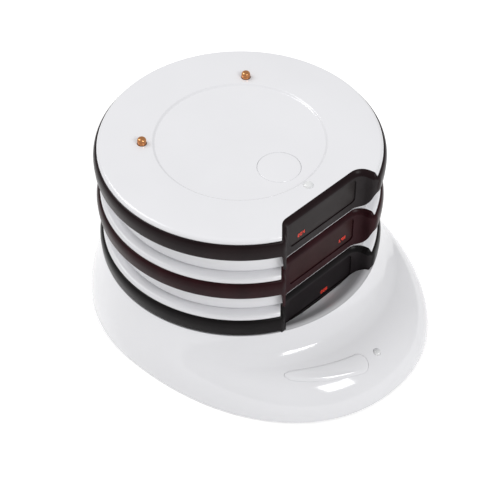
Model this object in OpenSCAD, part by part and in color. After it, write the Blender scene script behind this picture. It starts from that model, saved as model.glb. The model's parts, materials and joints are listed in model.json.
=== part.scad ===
// Guest pager system: three round coaster pagers stacked in the cup of a charging base.
// All sizes are in millimetres. The display side faces -Y, and the table is z = 0.

/* [Pager] */
// Outside diameter of the pager, over its light ring
pager_d = 100; // [97:0.5:103]
// Height of one pager, which is also the pitch of the stack
pager_h = 18; // [17.5:0.1:19]
// Height of the light ring's lower edge above the seat
ring_low = 10; // [9.6:0.1:10.4]
// Radial thickness of the light ring
ring_wall = 4; // [3.5:0.1:4.5]
// Step from the ring's outside to the white cover's edge
cover_step = 1.3; // [1:0.1:1.6]
// Rounding of the white cover's edge
cover_round = 1.5; // [1.2:0.1:1.7]
// Thickness of the cover's plate
plate_t = 2.4; // [2.1:0.1:2.6]
// Step from the ring's outside to the top of the lower shell
shell_step = 3; // [2.6:0.1:3.4]
// Inward taper of the lower shell from its top to its foot
shell_taper = 1.5; // [1:0.1:2]
// Rounding from the lower shell's side to its flat seat
seat_round = 1.8; // [1.2:0.1:2.2]
// Wall of the lower shell
shell_wall = 1.8; // [1.5:0.1:2]
// Floor of the lower shell
floor_t = 1.8; // [1.5:0.1:2]

/* [Stacking] */
// Diameter of the shallow dish in the top
dish_d = 60; // [59:0.2:61]
// Depth of the dish
dish_depth = 0.7; // [0.5:0.05:0.9]
// Width of the dish's sloping edge
dish_edge = 1.2; // [0.8:0.1:1.6]
// Width of the centring rib that drops into the dish below
rib_w = 2; // [1.4:0.1:2.4]
// How far the centring rib drops into the dish below
rib_drop = 0.4; // [0.3:0.02:0.46]
// Diameter of the hollow under the pager, which clears the button and the lens below
relief_d = 69; // [68.6:0.2:70]
// Depth of the hollow under the pager
relief_depth = 1; // [0.9:0.05:1.1]

/* [Display] */
// Distance from the axis to the upper edge of the sloping display
display_back = 37.2; // [36.8:0.1:37.8]
// Width of the notch that the display lies in
notch_w = 42; // [40:0.5:44]
// Corner radius of the notch at the display's upper edge
notch_r = 4; // [3:0.5:5]
// Corner radius of the notch at its open end
notch_r_low = 12; // [9:0.5:13]
// Thickness of the bezel
bezel_t = 2; // [1.8:0.1:2.2]
// Width of the window
window_w = 33; // [30:0.5:34]
// Height of the window along the slope
window_h = 5.9; // [5.6:0.1:6]
// Distance down the slope from the bezel's upper edge to the window
window_top = 1.6; // [1.4:0.1:1.7]
// Thickness of the window
lens_t = 1.2; // [0.9:0.1:1.4]
// Ledge that the window rests on
lens_ledge = 0.7; // [0.5:0.1:1]
// Thickness of the display module behind the bezel
module_t = 1.5; // [1.2:0.1:1.6]

/* [Call button and status light] */
// Diameter of the call button
button_d = 16.4; // [15:0.2:17]
// Distance of the call button in front of the axis
button_y = 18.5; // [18:0.1:18.8]
// Height of the call button's crown above the dish floor
button_proud = 0.8; // [0.6:0.05:1]
// Travel of the call button
button_travel = 0.5; // [0.3:0.05:0.6]
// Diameter of the status light's dome
status_d = 3.4; // [3:0.1:3.6]
// Distance of the status light in front of the axis
status_y = 31.9; // [31.8:0.1:32.4]
// Height of the status light's dome
status_proud = 0.6; // [0.4:0.05:0.7]

/* [Charging contacts] */
// Diameter of a contact pin
pin_d = 3.1; // [2.8:0.1:3.4]
// Distance of each contact pin to the side of the axis
pin_x = 24.8; // [24:0.2:26]
// Distance of the contact pins behind the axis
pin_y = 22.1; // [21.4:0.1:22.6]
// Height of a contact pin above the seat
pin_proud = 2.3; // [2:0.1:2.5]
// Travel of a contact pin
pin_travel = 1.2; // [0.8:0.1:1.4]
// Diameter of the charge pad under the pager
pad_d = 8; // [7:0.2:8.6]
// Thickness of the charge pad
pad_t = 0.9; // [0.7:0.1:1.1]

/* [Inside a pager] */
// Height of the circuit board above the seat
board_z = 9; // [8.9:0.05:9.2]
// Thickness of a circuit board
board_t = 1.2; // [1:0.1:1.3]
// Size of the battery from side to side
battery_w = 33; // [28:0.5:35]
// Size of the battery from front to back
battery_l = 30; // [26:0.5:32]
// Thickness of the battery
battery_t = 5.4; // [4.5:0.1:5.8]
// Diameter of the vibration motor
motor_d = 6; // [5:0.1:6]
// Length of the vibration motor
motor_l = 12; // [10:0.5:13]
// Diameter of the motor's shaft
shaft_d = 1; // [0.8:0.1:1.2]
// Length of the eccentric weight
weight_l = 4; // [3:0.2:4.6]
// Diameter of a screw's thread
screw_d = 2.4; // [2:0.1:2.6]
// Diameter of a screw's head
head_d = 4.4; // [4:0.1:4.8]
// Height of a screw's head
head_t = 1.4; // [1.2:0.1:1.6]
// Diameter of a screw post
post_d = 6.4; // [6:0.1:6.8]
// Number of lamps that light the ring
lamp_count = 10; // [6:1:14]

/* [Base] */
// Width of the base
base_w = 110.2; // [108:0.2:116]
// Reach of the base behind the stack's axis
base_back = 55.1; // [54.7:0.2:58]
// Reach of the base in front of the stack's axis
base_front = 75.1; // [74.5:0.2:80]
// Squareness of the front of the base, where 2 is an ellipse
base_square = 2.15; // [2:0.05:2.3]
// Height of the seat that the lowest pager stands on
seat_h = 15.5; // [15.2:0.1:16]
// Height of the rim round the cup
rim_h = 25; // [24.6:0.1:25.2]
// Width of the rim round the cup
rim_w = 1.3; // [1.1:0.1:1.5]
// Height of the base's shoulder just outside the cup
shoulder_h = 17; // [16.6:0.2:18]
// Roundness of the shoulder at the sides: a larger number is squarer
shoulder_side = 1.8; // [1.7:0.05:2]
// Roundness of the shoulder at the front
shoulder_front = 2.3; // [2.1:0.05:2.5]
// Reach of the hollow curve from the rim to the shoulder
flare = 8; // [6:0.5:9]
// Height of the housing's lower edge above the table
base_low = 0.8; // [0.6:0.1:0.9]
// Wall of the base's housing
base_wall = 2.2; // [2:0.1:2.4]
// Thickness of the bottom plate
base_plate_t = 2; // [1.8:0.1:2.2]
// Diameter of a rubber foot
foot_d = 10; // [8:0.5:11]
// Depth that a rubber foot is let into the plate
foot_inset = 0.6; // [0.5:0.1:0.8]
// Height of the base's circuit board
base_board_z = 5; // [4.8:0.1:5.2]

/* [Base key, light and power inlet] */
// Thin end of the leaf key: distance to the left of the axis
key_tip_x = 30.1; // [29.5:0.1:30.6]
// Thin end of the leaf key: distance in front of the axis
key_tip_y = 52.4; // [52:0.1:53]
// Round end of the leaf key: distance to the left of the axis
key_end_x = 8.1; // [7.6:0.1:9]
// Round end of the leaf key: distance in front of the axis
key_end_y = 65.6; // [65:0.1:65.8]
// How far the leaf key bows towards the front
key_bow = 3.2; // [2:0.2:3.6]
// Width of the round end of the leaf key
key_w = 6.4; // [5.6:0.2:6.6]
// Width of the thin end of the leaf key
key_tip_w = 1.8; // [1.4:0.1:2.4]
// Height of the key above the housing
key_proud = 0.6; // [0.4:0.1:0.8]
// Travel of the key
key_travel = 0.6; // [0.4:0.1:0.8]
// Distance of the base's status light in front of the axis
dot_y = 66.4; // [66:0.1:66.8]
// Diameter of the base's status light
dot_d = 2.6; // [2:0.1:3]
// Width of the power inlet
jack_w = 9; // [8:0.2:10]
// Height of the power inlet
jack_h = 9; // [8.4:0.1:9.4]
// Length of the power inlet
jack_l = 13; // [11:0.5:14]
// Diameter of the power inlet's socket
jack_bore_d = 6.4; // [5.5:0.1:6.6]

/* [Fits] */
// Clearance between parts that are joined
fit = 0.05; // [0.03:0.01:0.08]
// Running clearance of a pin in its barrel and of a shaft in its bearing
run = 0.04; // [0.02:0.01:0.08]
// Visible gap round a button or a key
gap = 0.3; // [0.2:0.05:0.4]

/* [Hidden] */
PAGERS = [1, 2, 3];
PAGER_PARTS = ["top_cover", "light_ring", "display_lens", "display_module", "call_button",
    "status_lens", "contact_pin_left", "contact_pin_right", "pin_barrels", "circuit_board",
    "battery", "motor", "motor_weight", "charge_pads", "bottom_shell", "screws"];
BASE_PARTS = ["base_cover", "base_key", "base_status_lens", "base_contact_pin_left",
    "base_contact_pin_right", "base_pin_barrels", "base_board", "dc_jack", "base_plate",
    "base_feet", "base_screws"];

$fn = 96;
FINE = 48;      // sides of small round parts
ARC = 8;        // steps of a rounded corner
EPS = 0.01;     // overlap of cutting tools
BIG = 200;      // reach of half-space cutters

WHITE = "#e6e7ea";
SMOKE = "#2a1c1e";
WINDOW = "#3a2024";
CLEAR = "#d9dde2";
GOLD = "#c89a4a";
STEEL = "#b9bcc0";
GREEN = "#23603a";
SILVER = "#c9ccd2";
BLACK = "#1b1b1d";

// Light ring and cover
ring_r = pager_d / 2;
ring_in = ring_r - ring_wall;
ring_top = pager_h - cover_round;
ring_swell_z = ring_top - 3;        // height at which the ring is widest
ring_foot = 0.2;                    // the ring's inward taper below that
ring_edge = 0.5;                    // rounding of its lower edge
cover_r = ring_r - cover_step;
ledge_z = ring_top - 2;             // shoulder in the ring that the cover's rim rests on
plate_low = pager_h - plate_t;
spigot_t = 1.6;
spigot_h = 1;

// Lower shell
shell_top_r = ring_r - shell_step;
shell_foot_r = shell_top_r - shell_taper;
relief_r = relief_d / 2;
floor_z = relief_depth + floor_t;
rib_r = dish_d / 2 - dish_edge - gap;

// Display: the facet slopes at 45 degrees from the notch's upper edge to the ring's lower edge
facet_low_y = display_back + ring_top - ring_low;
facet_len = (ring_top - ring_low) * sqrt(2);
undercut_y = facet_low_y - gap;      // where the shell's undercut starts, at ring_low
undercut_in = 7.5;                   // how far the undercut runs in by the seat
undercut_a = 180 - atan2(ring_low, undercut_in);
undercut_w = notch_w - 2;
undercut_r = 3;

// Screws stand just inside the shell, clear of the pins, the display and the button
screw_r = shell_foot_r - shell_wall - post_d / 2 - 2.5;
screw_angles = [-18.5, 68.5, 111.5, 198.5];
head_z = 0.9;
screw_top = board_z + board_t + 3.8;
screw_deep = 0.5;                    // room in a post past the screw's end

// Call button
dish_z = pager_h - dish_depth;
flange_t = 0.8;
flange_w = 1;
stem_z = plate_low - flange_t - 0.4;
switch_top = stem_z - button_travel - 0.05;
board_top = board_z + board_t;

// Contacts
pad_z = pin_proud + 0.2;
pad_boss_d = pad_d + 3.4;
pad_boss_top = pad_z + pad_t + 1.2;
stud_d = 2.4;
barrel_d = pin_d + 1.5;
barrel_floor = 0.6;
pin_tail = pin_travel + 0.4;         // room under the plunger

// Motor, lying along X in front of the battery on the left
motor_x = -32;
motor_y = -21;
motor_z = floor_z + motor_d / 2 + fit;
shaft_in = 4;
weight_gap = 0.5;
cradle_t = 2;

// Base
collar_r = ring_r - 0.4;
cup_r = collar_r - rim_w;
cup_floor_r = cup_r - 1.5;
stack_y = (base_front - base_back) / 2;
cup_t = 2.2;
cavity_top = seat_h - cup_t;
plate_z = base_low + 0.2;
plate_top = plate_z + base_plate_t;
plate_in = base_wall + fit;
base_board_top = base_board_z + board_t;
base_screw_z = plate_z + 0.1;
base_screw_top = base_screw_z + 9;
base_screw_r = 40.5;
base_screw_angles = [22, 158, 205, 335];
feet_at = [[-32, 33], [32, 33], [-30, -46], [30, -46]];
SEG = 72;                            // corners round the housing
SEG_IN = 36;                         // corners round its cavity
FLARE_STEPS = 5;
DOME_STEPS = 9;
LEAF_STEPS = 10;
key_stem_d = 3;
key_switch_top = base_board_top + 2.2;
key_at = leaf_mid(0.6);               // the key's stem stands here
standoffs_at = [[-38, 8], [38, 8], [-30, -30], [30, -34], [0, 12]];
jack_y = base_back - 1.5 - jack_l;
dot_span = base_front - collar_r;
dot_z = housing_z(270, (dot_y - collar_r) / dot_span, dot_span, 0);

module at_key() translate(key_at) children();
module at_pager(k) translate([0, stack_y, seat_h + (k - 1) * pager_h]) children();
module at_base() translate([0, stack_y, 0]) children();

// ---- shared shapes ----

// Frame of the sloping facet: x across, y up the slope, z out of the face
module on_facet() translate([0, -display_back, ring_top]) rotate([45, 0, 0]) children();

// Points of an open channel's section, half width w, corner radius r, grown outwards by g
function channel(w, r, g, top) = concat(
    [[-w - g, top]],
    [for (i = [0:ARC]) [-w + r, r] + (r + g) * [cos(180 + i * 90 / ARC), sin(180 + i * 90 / ARC)]],
    [for (i = [0:ARC]) [w - r, r] + (r + g) * [cos(270 + i * 90 / ARC), sin(270 + i * 90 / ARC)]],
    [[w + g, top]]);

// Thin slice of that channel, across the slope at y
module channel_slice(y, w, r, g, top)
    translate([0, y, 0]) rotate([90, 0, 0]) linear_extrude(EPS) polygon(channel(w, r, g, top));

// Everything above the display's facet and its scooped ends, grown by g
module notch(g = 0) on_facet() hull() {
    channel_slice(8, notch_w / 2, notch_r, g, 20);
    channel_slice(3, notch_w / 2, notch_r, g, 20);
    channel_slice(-facet_len - 5, notch_w / 2, notch_r_low, g, 20);
}

// Everything in front of the shell's undercut, grown by g
module undercut(g = 0)
    translate([0, -undercut_y, ring_low]) rotate([undercut_a, 0, 0]) hull() {
        channel_slice(6, undercut_w / 2, undercut_r, g, 20);
        channel_slice(-16, undercut_w / 2, undercut_r, g, 20);
    }

module below(z) translate([-BIG / 2, -BIG / 2, z - BIG]) cube(BIG);

// Flat plate with round corners
module round_plate(w, h, r, t) linear_extrude(t) {
    square([w - 2 * r, h], center = true);
    square([w, h - 2 * r], center = true);
    for (x = [-1, 1], y = [-1, 1])
        translate([x * (w / 2 - r), y * (h / 2 - r)]) circle(r, $fn = FINE);
}

module at_screws() for (a = screw_angles)
    rotate(a) translate([screw_r, 0, 0]) rotate(-a) children();

module at_pins() for (s = [-1, 1]) translate([s * pin_x, pin_y, 0]) children();

// Domed plunger of a sprung contact, z = 0 at the seat that it stands out of
module plunger(tail) rotate_extrude($fn = FINE) polygon(concat(
    [[0, tail], [pin_d / 2, tail]],
    [for (i = [0:ARC]) let (a = i * 90 / ARC)
        [pin_d / 2 * cos(a), pin_proud - pin_d * 0.28 * (1 - sin(a))]]));

// Closed tube that the plunger slides in, from the board to the plate
module barrel(low, high) difference() {
    translate([0, 0, low]) cylinder(d = barrel_d, h = high - low, $fn = FINE);
    translate([0, 0, low + barrel_floor])
        cylinder(d = pin_d + 2 * run, h = high - low, $fn = FINE);
}

// Pan-head screw, head down, with a cross recess
module screw(top) {
    difference() {
        rotate_extrude($fn = FINE) polygon([[0, 0], [head_d / 2 - 0.4, 0], [head_d / 2, 0.5],
            [head_d / 2, head_t], [screw_d / 2, head_t], [screw_d / 2, top - 0.8], [0.3, top],
            [0, top]]);
        for (a = [0, 90]) rotate(a) translate([-1.1, -0.25, -EPS]) cube([2.2, 0.5, 0.7]);
    }
}

// ---- pager ----

module ring_outline() polygon(concat(
    [[0, ring_low], [ring_r - ring_foot - ring_edge, ring_low]],
    [for (i = [1:4]) let (a = i * 90 / 4)
        [ring_r - ring_foot - ring_edge * (1 - sin(a)), ring_low + ring_edge * (1 - cos(a))]],
    [for (i = [0:ARC]) let (a = i * 90 / ARC)
        [cover_r + fit + (cover_step - fit) * cos(a),
         ring_swell_z + (ring_top - ring_swell_z) * sin(a)]],
    [[0, ring_top]]));

module light_ring() color(SMOKE) difference() {
    rotate_extrude() ring_outline();
    // hollow inside the ring, up to the bezel that runs across the notch
    difference() {
        union() {
            translate([0, 0, ring_low - 1]) cylinder(r = ring_in, h = pager_h);
            translate([0, 0, ledge_z]) cylinder(r = cover_r + fit, h = pager_h);
        }
        notch(bezel_t);
    }
    notch(0);
    on_facet() translate([0, -window_top - window_h / 2, -lens_t])
        round_plate(window_w, window_h, 1.6, lens_t + 1);
    on_facet() translate([0, -window_top - window_h / 2, -bezel_t - 1])
        round_plate(window_w - 2 * lens_ledge, window_h - 2 * lens_ledge, 1, bezel_t + 1);
}

module display_lens() color(WINDOW)
    on_facet() translate([0, -window_top - window_h / 2, -lens_t])
        round_plate(window_w - 2 * fit, window_h - 2 * fit, 1.6 - fit, lens_t);

// Body of the display module behind the bezel, grown by g
module module_block(g) on_facet() translate([0, -window_top - window_h / 2, -bezel_t - module_t - g])
    round_plate(window_w + 1.4 + 2 * g, window_h + 0.3 + 2 * g, 0.5 + g, module_t + 2 * g);

module display_module() color(BLACK) {
    module_block(0);
    // header down to the circuit board
    translate([-8, -display_back + 1, board_top]) cube([16, 0.8, ring_top - bezel_t - board_top - 1.4]);
}

// Upper layer of the cover, above the ring's top
module cover_top() rotate_extrude() polygon(concat(
    [[0, ring_top]],
    [for (i = [0:ARC]) let (a = i * 90 / ARC)
        [cover_r - cover_round * (1 - cos(a)), ring_top + cover_round * sin(a)]],
    [[dish_d / 2, pager_h]],
    [for (i = [1:4]) let (a = i * 90 / 4)
        [dish_d / 2 - dish_edge * sin(a), pager_h - dish_depth * (1 - cos(a))]],
    [[0, dish_z]]));

// Lower layer: the plate's underside, and the rim and spigot that sit in the ring
module cover_rim() rotate_extrude() polygon([[0, plate_low], [ring_in - fit - spigot_t, plate_low],
    [ring_in - fit - spigot_t, ledge_z - spigot_h], [ring_in - fit, ledge_z - spigot_h],
    [ring_in - fit, ledge_z], [cover_r, ledge_z], [cover_r, ring_top], [0, ring_top]]);

module top_cover() color(WHITE) difference() {
    union() {
        difference() {
            cover_top();
            notch(0);
        }
        difference() {
            cover_rim();
            notch(bezel_t + fit);
        }
        at_screws() translate([0, 0, board_top])
            cylinder(d = post_d, h = plate_low - board_top + EPS, $fn = FINE);
    }
    translate([0, -button_y, 0]) cylinder(d = button_d + 2 * gap, h = pager_h + 1);
    translate([0, -status_y, 0]) cylinder(d = status_d - 0.3, h = pager_h + 1, $fn = FINE);
    at_pins() cylinder(d = pin_d + 2 * gap, h = pager_h + 1, $fn = FINE);
    at_screws() translate([0, 0, board_top - EPS])
        cylinder(d = screw_d + 2 * fit, h = screw_top - board_top + screw_deep, $fn = FINE);
}

module call_button() color(WHITE) translate([0, -button_y, 0]) rotate_extrude() {
    r = button_d / 2;
    top = dish_z + button_proud;
    polygon(concat(
        [[0, stem_z], [2, stem_z], [2, plate_low - flange_t], [r + flange_w, plate_low - flange_t],
         [r + flange_w, plate_low], [r, plate_low], [r, top - 0.9]],
        [for (i = [1:5]) let (a = i * 90 / 5) [r - 0.7 * (1 - cos(a)), top - 0.9 + 0.7 * sin(a)]],
        [[r * 0.5, top - 0.04], [0, top]]));
}

module status_lens() color(CLEAR) translate([0, -status_y, 0]) rotate_extrude($fn = FINE) {
    r = status_d / 2;
    neck = r - 0.15 - fit;
    polygon(concat([[0, board_top + 1.2], [neck, board_top + 1.2], [neck, pager_h], [r, pager_h]],
        [for (i = [1:ARC]) let (a = i * 90 / ARC) [r * cos(a), pager_h + status_proud * sin(a)]]));
}

module contact_pin(s) color(GOLD) translate([s * pin_x, pin_y, pager_h])
    plunger(board_top + barrel_floor + pin_tail - pager_h);

module pin_barrels() color(STEEL) at_pins() barrel(board_top, plate_low);

module board_outline() intersection() {
    circle(shell_foot_r - shell_wall + 0.2);
    translate([-BIG / 2, -display_back - 0.4]) square(BIG);
}

module circuit_board() color(GREEN) {
    difference() {
        translate([0, 0, board_z]) linear_extrude(board_t) board_outline();
        at_screws() cylinder(d = screw_d + 2 * gap, h = BIG, $fn = FINE);
    }
    // tactile switch under the call button, with its plunger
    translate([-3, -button_y - 3, board_top]) cube([6, 6, switch_top - board_top - 0.6]);
    translate([0, -button_y, board_top]) cylinder(d = 3.4, h = switch_top - board_top, $fn = FINE);
    // lamps round the edge, shining into the ring
    for (i = [0:lamp_count - 1])
        rotate(-50 + i * 280 / (lamp_count - 1))
            translate([shell_foot_r - shell_wall - 2, -1.6, board_top]) cube([1.6, 3.2, 2.4]);
    // lamp under the status light
    translate([-1, -status_y - 1, board_top]) cube([2, 2, 1.1]);
    // controller, radio chip, crystal and buzzer
    translate([-4, 4, board_top]) cube([8, 8, 1.2]);
    translate([-14, -4, board_top]) cube([5, 5, 1]);
    translate([-14, 4, board_top]) cube([4.6, 1.8, 1.6]);
    translate([15, -6, board_top]) cylinder(d = 9, h = 3.6, $fn = FINE);
    translate([10, 26, board_top]) cube([7, 4, 3.4]);
}

module battery() color(SILVER) translate([-battery_w / 2, -1.5, floor_z]) {
    r = battery_t / 2;
    translate([r, 0, 0]) cube([battery_w - battery_t, battery_l, battery_t]);
    for (x = [r, battery_w - r])
        translate([x, 0, r]) rotate([-90, 0, 0]) cylinder(r = r, h = battery_l, $fn = FINE);
}

module at_motor() translate([motor_x, motor_y, motor_z]) rotate([0, 90, 0]) children();

module motor() color(STEEL) at_motor() difference() {
    union() {
        cylinder(d = motor_d, h = motor_l, $fn = FINE);
        translate([0, 0, motor_l - EPS]) cylinder(d = shaft_d + 1.2, h = weight_gap / 2, $fn = FINE);
    }
    translate([0, 0, motor_l - shaft_in])
        cylinder(d = shaft_d + 2 * run, h = shaft_in + 1, $fn = FINE);
}

module motor_weight() color(GOLD) at_motor() {
    translate([0, 0, motor_l - shaft_in + 0.3])
        cylinder(d = shaft_d, h = shaft_in - 0.3 + weight_gap + weight_l, $fn = FINE);
    translate([0, 0, motor_l + weight_gap]) cylinder(d = shaft_d + 1, h = weight_l, $fn = FINE);
    translate([0, 0, motor_l + weight_gap]) intersection() {
        cylinder(d = motor_d - 0.6, h = weight_l, $fn = FINE);
        translate([0, -BIG / 2, 0]) cube(BIG);
    }
}

module charge_pads() color(GOLD) at_pins() {
    translate([0, 0, pad_z]) cylinder(d = pad_d, h = pad_t, $fn = FINE);
    translate([0, 0, pad_z]) cylinder(d = stud_d, h = board_z - pad_z, $fn = FINE);
}

// Solid of revolution inside the lower shell's skin, w in from the outside, down to z
module tub(w, z, high) rotate_extrude() {
    foot = shell_foot_r - w;
    round_r = max(seat_round - w, 0.4);
    polygon(concat([[0, z], [foot - round_r, z]],
        [for (i = [1:ARC]) let (a = i * 90 / ARC)
            [foot - round_r * (1 - sin(a)), z + round_r * (1 - cos(a))]],
        [[shell_top_r - w, high], [0, high]]));
}

module bottom_shell() color(WHITE) difference() {
    union() {
        difference() {
            tub(0, 0, ring_low);
            undercut(0);
            difference() {
                tub(shell_wall, floor_z, ring_low + EPS);
                undercut(shell_wall);
            }
            translate([0, 0, -EPS]) cylinder(r = relief_r, h = relief_depth + EPS);
        }
        // spigot that centres the light ring
        difference() {
            translate([0, 0, ring_low - 1]) cylinder(r = ring_in - fit, h = spigot_h + 1);
            translate([0, 0, ring_low - 2]) cylinder(r = ring_in - fit - spigot_t, h = 5);
            notch(bezel_t + fit);
            undercut(0);
        }
        // rib that drops into the dish below
        difference() {
            translate([0, 0, -rib_drop]) cylinder(r = rib_r, h = relief_depth + rib_drop + EPS);
            translate([0, 0, -rib_drop - EPS]) cylinder(r = rib_r - rib_w, h = 5);
        }
        at_screws() translate([0, 0, head_z]) cylinder(d = post_d, h = board_z - head_z, $fn = FINE);
        at_pins() cylinder(d = pad_boss_d, h = pad_boss_top, $fn = FINE);
        motor_cradle();
        // fence round the battery
        for (x = [-1, 1]) translate([x * (battery_w / 2 + fit + 0.6) - 0.6, 2, floor_z - EPS])
            cube([1.2, 10, 3]);
        for (y = [-1.5 - fit - 1.2, -1.5 + battery_l + fit])
            translate([-6, y, floor_z - EPS]) cube([12, 1.2, 3]);
    }
    at_screws() translate([0, 0, -EPS])
        cylinder(d = head_d + 2 * fit, h = head_z + head_t + EPS, $fn = FINE);
    module_block(2 * fit);
    at_screws() cylinder(d = screw_d + 2 * gap, h = BIG, $fn = FINE);
    at_pins() translate([0, 0, -EPS]) cylinder(d = pad_d + 2 * fit, h = pad_z + pad_t + EPS, $fn = FINE);
    at_pins() cylinder(d = stud_d + 2 * fit, h = BIG, $fn = FINE);
}

// Two saddles that hold the motor
module motor_cradle() difference() {
    for (x = [1, motor_l - cradle_t - 1])
        translate([motor_x + x, motor_y - motor_d / 2 - 0.8, floor_z - EPS])
            cube([cradle_t, motor_d + 1.6, motor_d / 2]);
    translate([motor_x - 1, motor_y, motor_z]) rotate([0, 90, 0])
        cylinder(d = motor_d + 2 * fit, h = motor_l + 2, $fn = FINE);
}

module screws() color(STEEL) at_screws() translate([0, 0, head_z]) screw(screw_top - head_z);

// ---- base ----

// Footprint of the base at angle t, drawn in by w
function footprint(t, w) = let (
    c = cos(t), s = sin(t), e = 2 / base_square, a = base_w / 2 - w)
    s >= 0 ? [a * c, (base_back - w) * s]
        : [a * sign(c) * pow(abs(c), e), -(base_front - w) * pow(abs(s), e)];

// Stations from the cup's rim, q = 0, to the housing's lower edge, q = 1
function stations() = concat(
    [for (i = [0:FLARE_STEPS]) 0.18 * i / FLARE_STEPS],
    [for (i = [1:DOME_STEPS]) let (a = 15 + 75 * i / DOME_STEPS) pow(sin(a), 2 / shoulder_front)]);

// Roundness of the shoulder at angle t
function shoulder_at(t) =
    shoulder_side + (shoulder_front - shoulder_side) * pow(max(-sin(t), 0), 2);

// Height of the housing at angle t and station q, where the slope is span long, lowered by w
function housing_z(t, q, span, w) = let (
    p = shoulder_at(t),
    hollow = max(1 - q * span / min(flare, 0.9 * span), 0),
    dome = pow(max(1 - pow(q, p), 0), 1 / p))
    base_low + (shoulder_h - w - base_low) * dome + (rim_h - shoulder_h) * pow(hollow, 2);

function housing_pt(t, q, w) = let (
    inner = (collar_r - w) * [cos(t), sin(t)], outer = footprint(t, w),
    xy = inner + (outer - inner) * q)
    [xy[0], xy[1], housing_z(t, q, norm(outer - inner), w)];

// Housing as a solid, drawn in by w, with n corners
module housing(w, n) {
    q = stations();
    m = len(q);
    points = [for (j = [0:m - 1]) for (i = [0:n - 1]) housing_pt(i * 360 / n, q[j], w)];
    faces = concat(
        [[for (i = [n - 1:-1:0]) i]],
        [[for (i = [0:n - 1]) (m - 1) * n + i]],
        [for (j = [0:m - 2]) for (i = [0:n - 1]) let (i2 = (i + 1) % n)
            [j * n + i, j * n + i2, (j + 1) * n + i2]],
        [for (j = [0:m - 2]) for (i = [0:n - 1]) let (i2 = (i + 1) % n)
            [j * n + i, (j + 1) * n + i2, (j + 1) * n + i]]);
    polyhedron(points, faces, convexity = 6);
}

// Space that the lowest pager stands in
module cup() rotate_extrude() polygon(concat(
    [[0, seat_h - dish_depth]],
    [for (i = [4:-1:0]) let (a = i * 90 / 4)
        [dish_d / 2 - dish_edge * sin(a), seat_h - dish_depth * (1 - cos(a))]],
    [[cup_floor_r - 1, seat_h]],
    [for (i = [1:ARC]) let (a = i * 90 / ARC)
        [cup_floor_r - 1 + sin(a), seat_h + 1 - cos(a)]],
    [[cup_r, rim_h - 1], [cup_r, rim_h + 5], [0, rim_h + 5]]));

// Centre line of the leaf key, from its thin end, s = 0, to its round end, s = 1
function leaf_mid(s) = let (
    tip = [-key_tip_x, -key_tip_y], end = [-key_end_x, -key_end_y],
    along = (end - tip) / norm(end - tip), bow = [along[1], -along[0]])
    tip + (end - tip) * s + bow * key_bow * 4 * s * (1 - s) * 0.5;

// Half width of the leaf key at s, grown by g
function leaf_half(s, g) = key_tip_w / 2 + (key_w - key_tip_w) / 2 * pow(s, 0.45) + g;

// Direction of the centre line at s
function leaf_dir(s) = let (d = leaf_mid(s + 0.01) - leaf_mid(s - 0.01)) atan2(d[1], d[0]);

module leaf(g, low, high) translate([0, 0, low]) linear_extrude(high - low) polygon(concat(
    [for (i = [0:LEAF_STEPS]) let (s = i / LEAF_STEPS, a = leaf_dir(s) - 90)
        leaf_mid(s) + leaf_half(s, g) * [cos(a), sin(a)]],
    [for (i = [1:ARC - 1]) let (a = leaf_dir(1) - 90 + i * 180 / ARC)
        leaf_mid(1) + leaf_half(1, g) * [cos(a), sin(a)]],
    [for (i = [LEAF_STEPS:-1:0]) let (s = i / LEAF_STEPS, a = leaf_dir(s) + 90)
        leaf_mid(s) + leaf_half(s, g) * [cos(a), sin(a)]],
    [for (i = [1:3]) let (a = leaf_dir(0) + 90 + i * 180 / 4)
        leaf_mid(0) + leaf_half(0, g) * [cos(a), sin(a)]]));

module at_base_screws() for (a = base_screw_angles)
    rotate(a) translate([base_screw_r, 0, 0]) rotate(-a) children();

module jack_block(g, l) translate([-jack_w / 2 - g, jack_y, plate_top - g])
    cube([jack_w + 2 * g, l, jack_h + 2 * g]);

module base_cover() color(WHITE) difference() {
    union() {
        difference() {
            housing(0, SEG);
            intersection() {
                translate([0, 0, -EPS]) housing(base_wall, SEG_IN);
                below(cavity_top);
            }
            translate([0, 0, base_low - 1]) linear_extrude(plate_top + fit - base_low + 1)
                base_outline(base_wall);
        }
        at_base_screws() translate([0, 0, plate_top])
            cylinder(d = post_d, h = cavity_top - plate_top + EPS, $fn = FINE);
    }
    cup();
    at_pins() cylinder(d = pin_d + 2 * gap, h = BIG, $fn = FINE);
    leaf(gap, 3, 30);
    translate([0, -dot_y, 0]) cylinder(d = dot_d + 2 * fit, h = 30, $fn = FINE);
    jack_block(fit, jack_l + 5);
    at_base_screws() translate([0, 0, plate_top - EPS])
        cylinder(d = screw_d + 2 * fit, h = base_screw_top + screw_deep - plate_top, $fn = FINE);
}

module base_key() color(WHITE) {
    intersection() {
        leaf(0, cavity_top - 3, 30);
        translate([0, 0, key_proud]) housing(0, SEG);
    }
    at_key() translate([0, 0, key_switch_top + key_travel + 0.1])
        cylinder(d = key_stem_d, h = cavity_top - 2.5 - key_switch_top - key_travel, $fn = FINE);
}

module base_status_lens() color(CLEAR) translate([0, -dot_y, 0]) rotate_extrude($fn = FINE)
    polygon(concat([[0, base_board_top + 1.2], [dot_d / 2, base_board_top + 1.2]],
        [for (i = [0:ARC]) let (a = i * 90 / ARC) [dot_d / 2 * cos(a), dot_z + 0.6 * sin(a)]]));

module base_contact_pin(s) color(GOLD) translate([s * pin_x, pin_y, seat_h])
    plunger(base_board_top + barrel_floor + pin_tail - seat_h);

module base_pin_barrels() color(STEEL) at_pins() barrel(base_board_top, cavity_top);

module base_outline(w) polygon([for (i = [0:SEG - 1]) footprint(i * 360 / SEG, w)]);

module at_standoffs() for (p = standoffs_at) translate(p) children();

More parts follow.
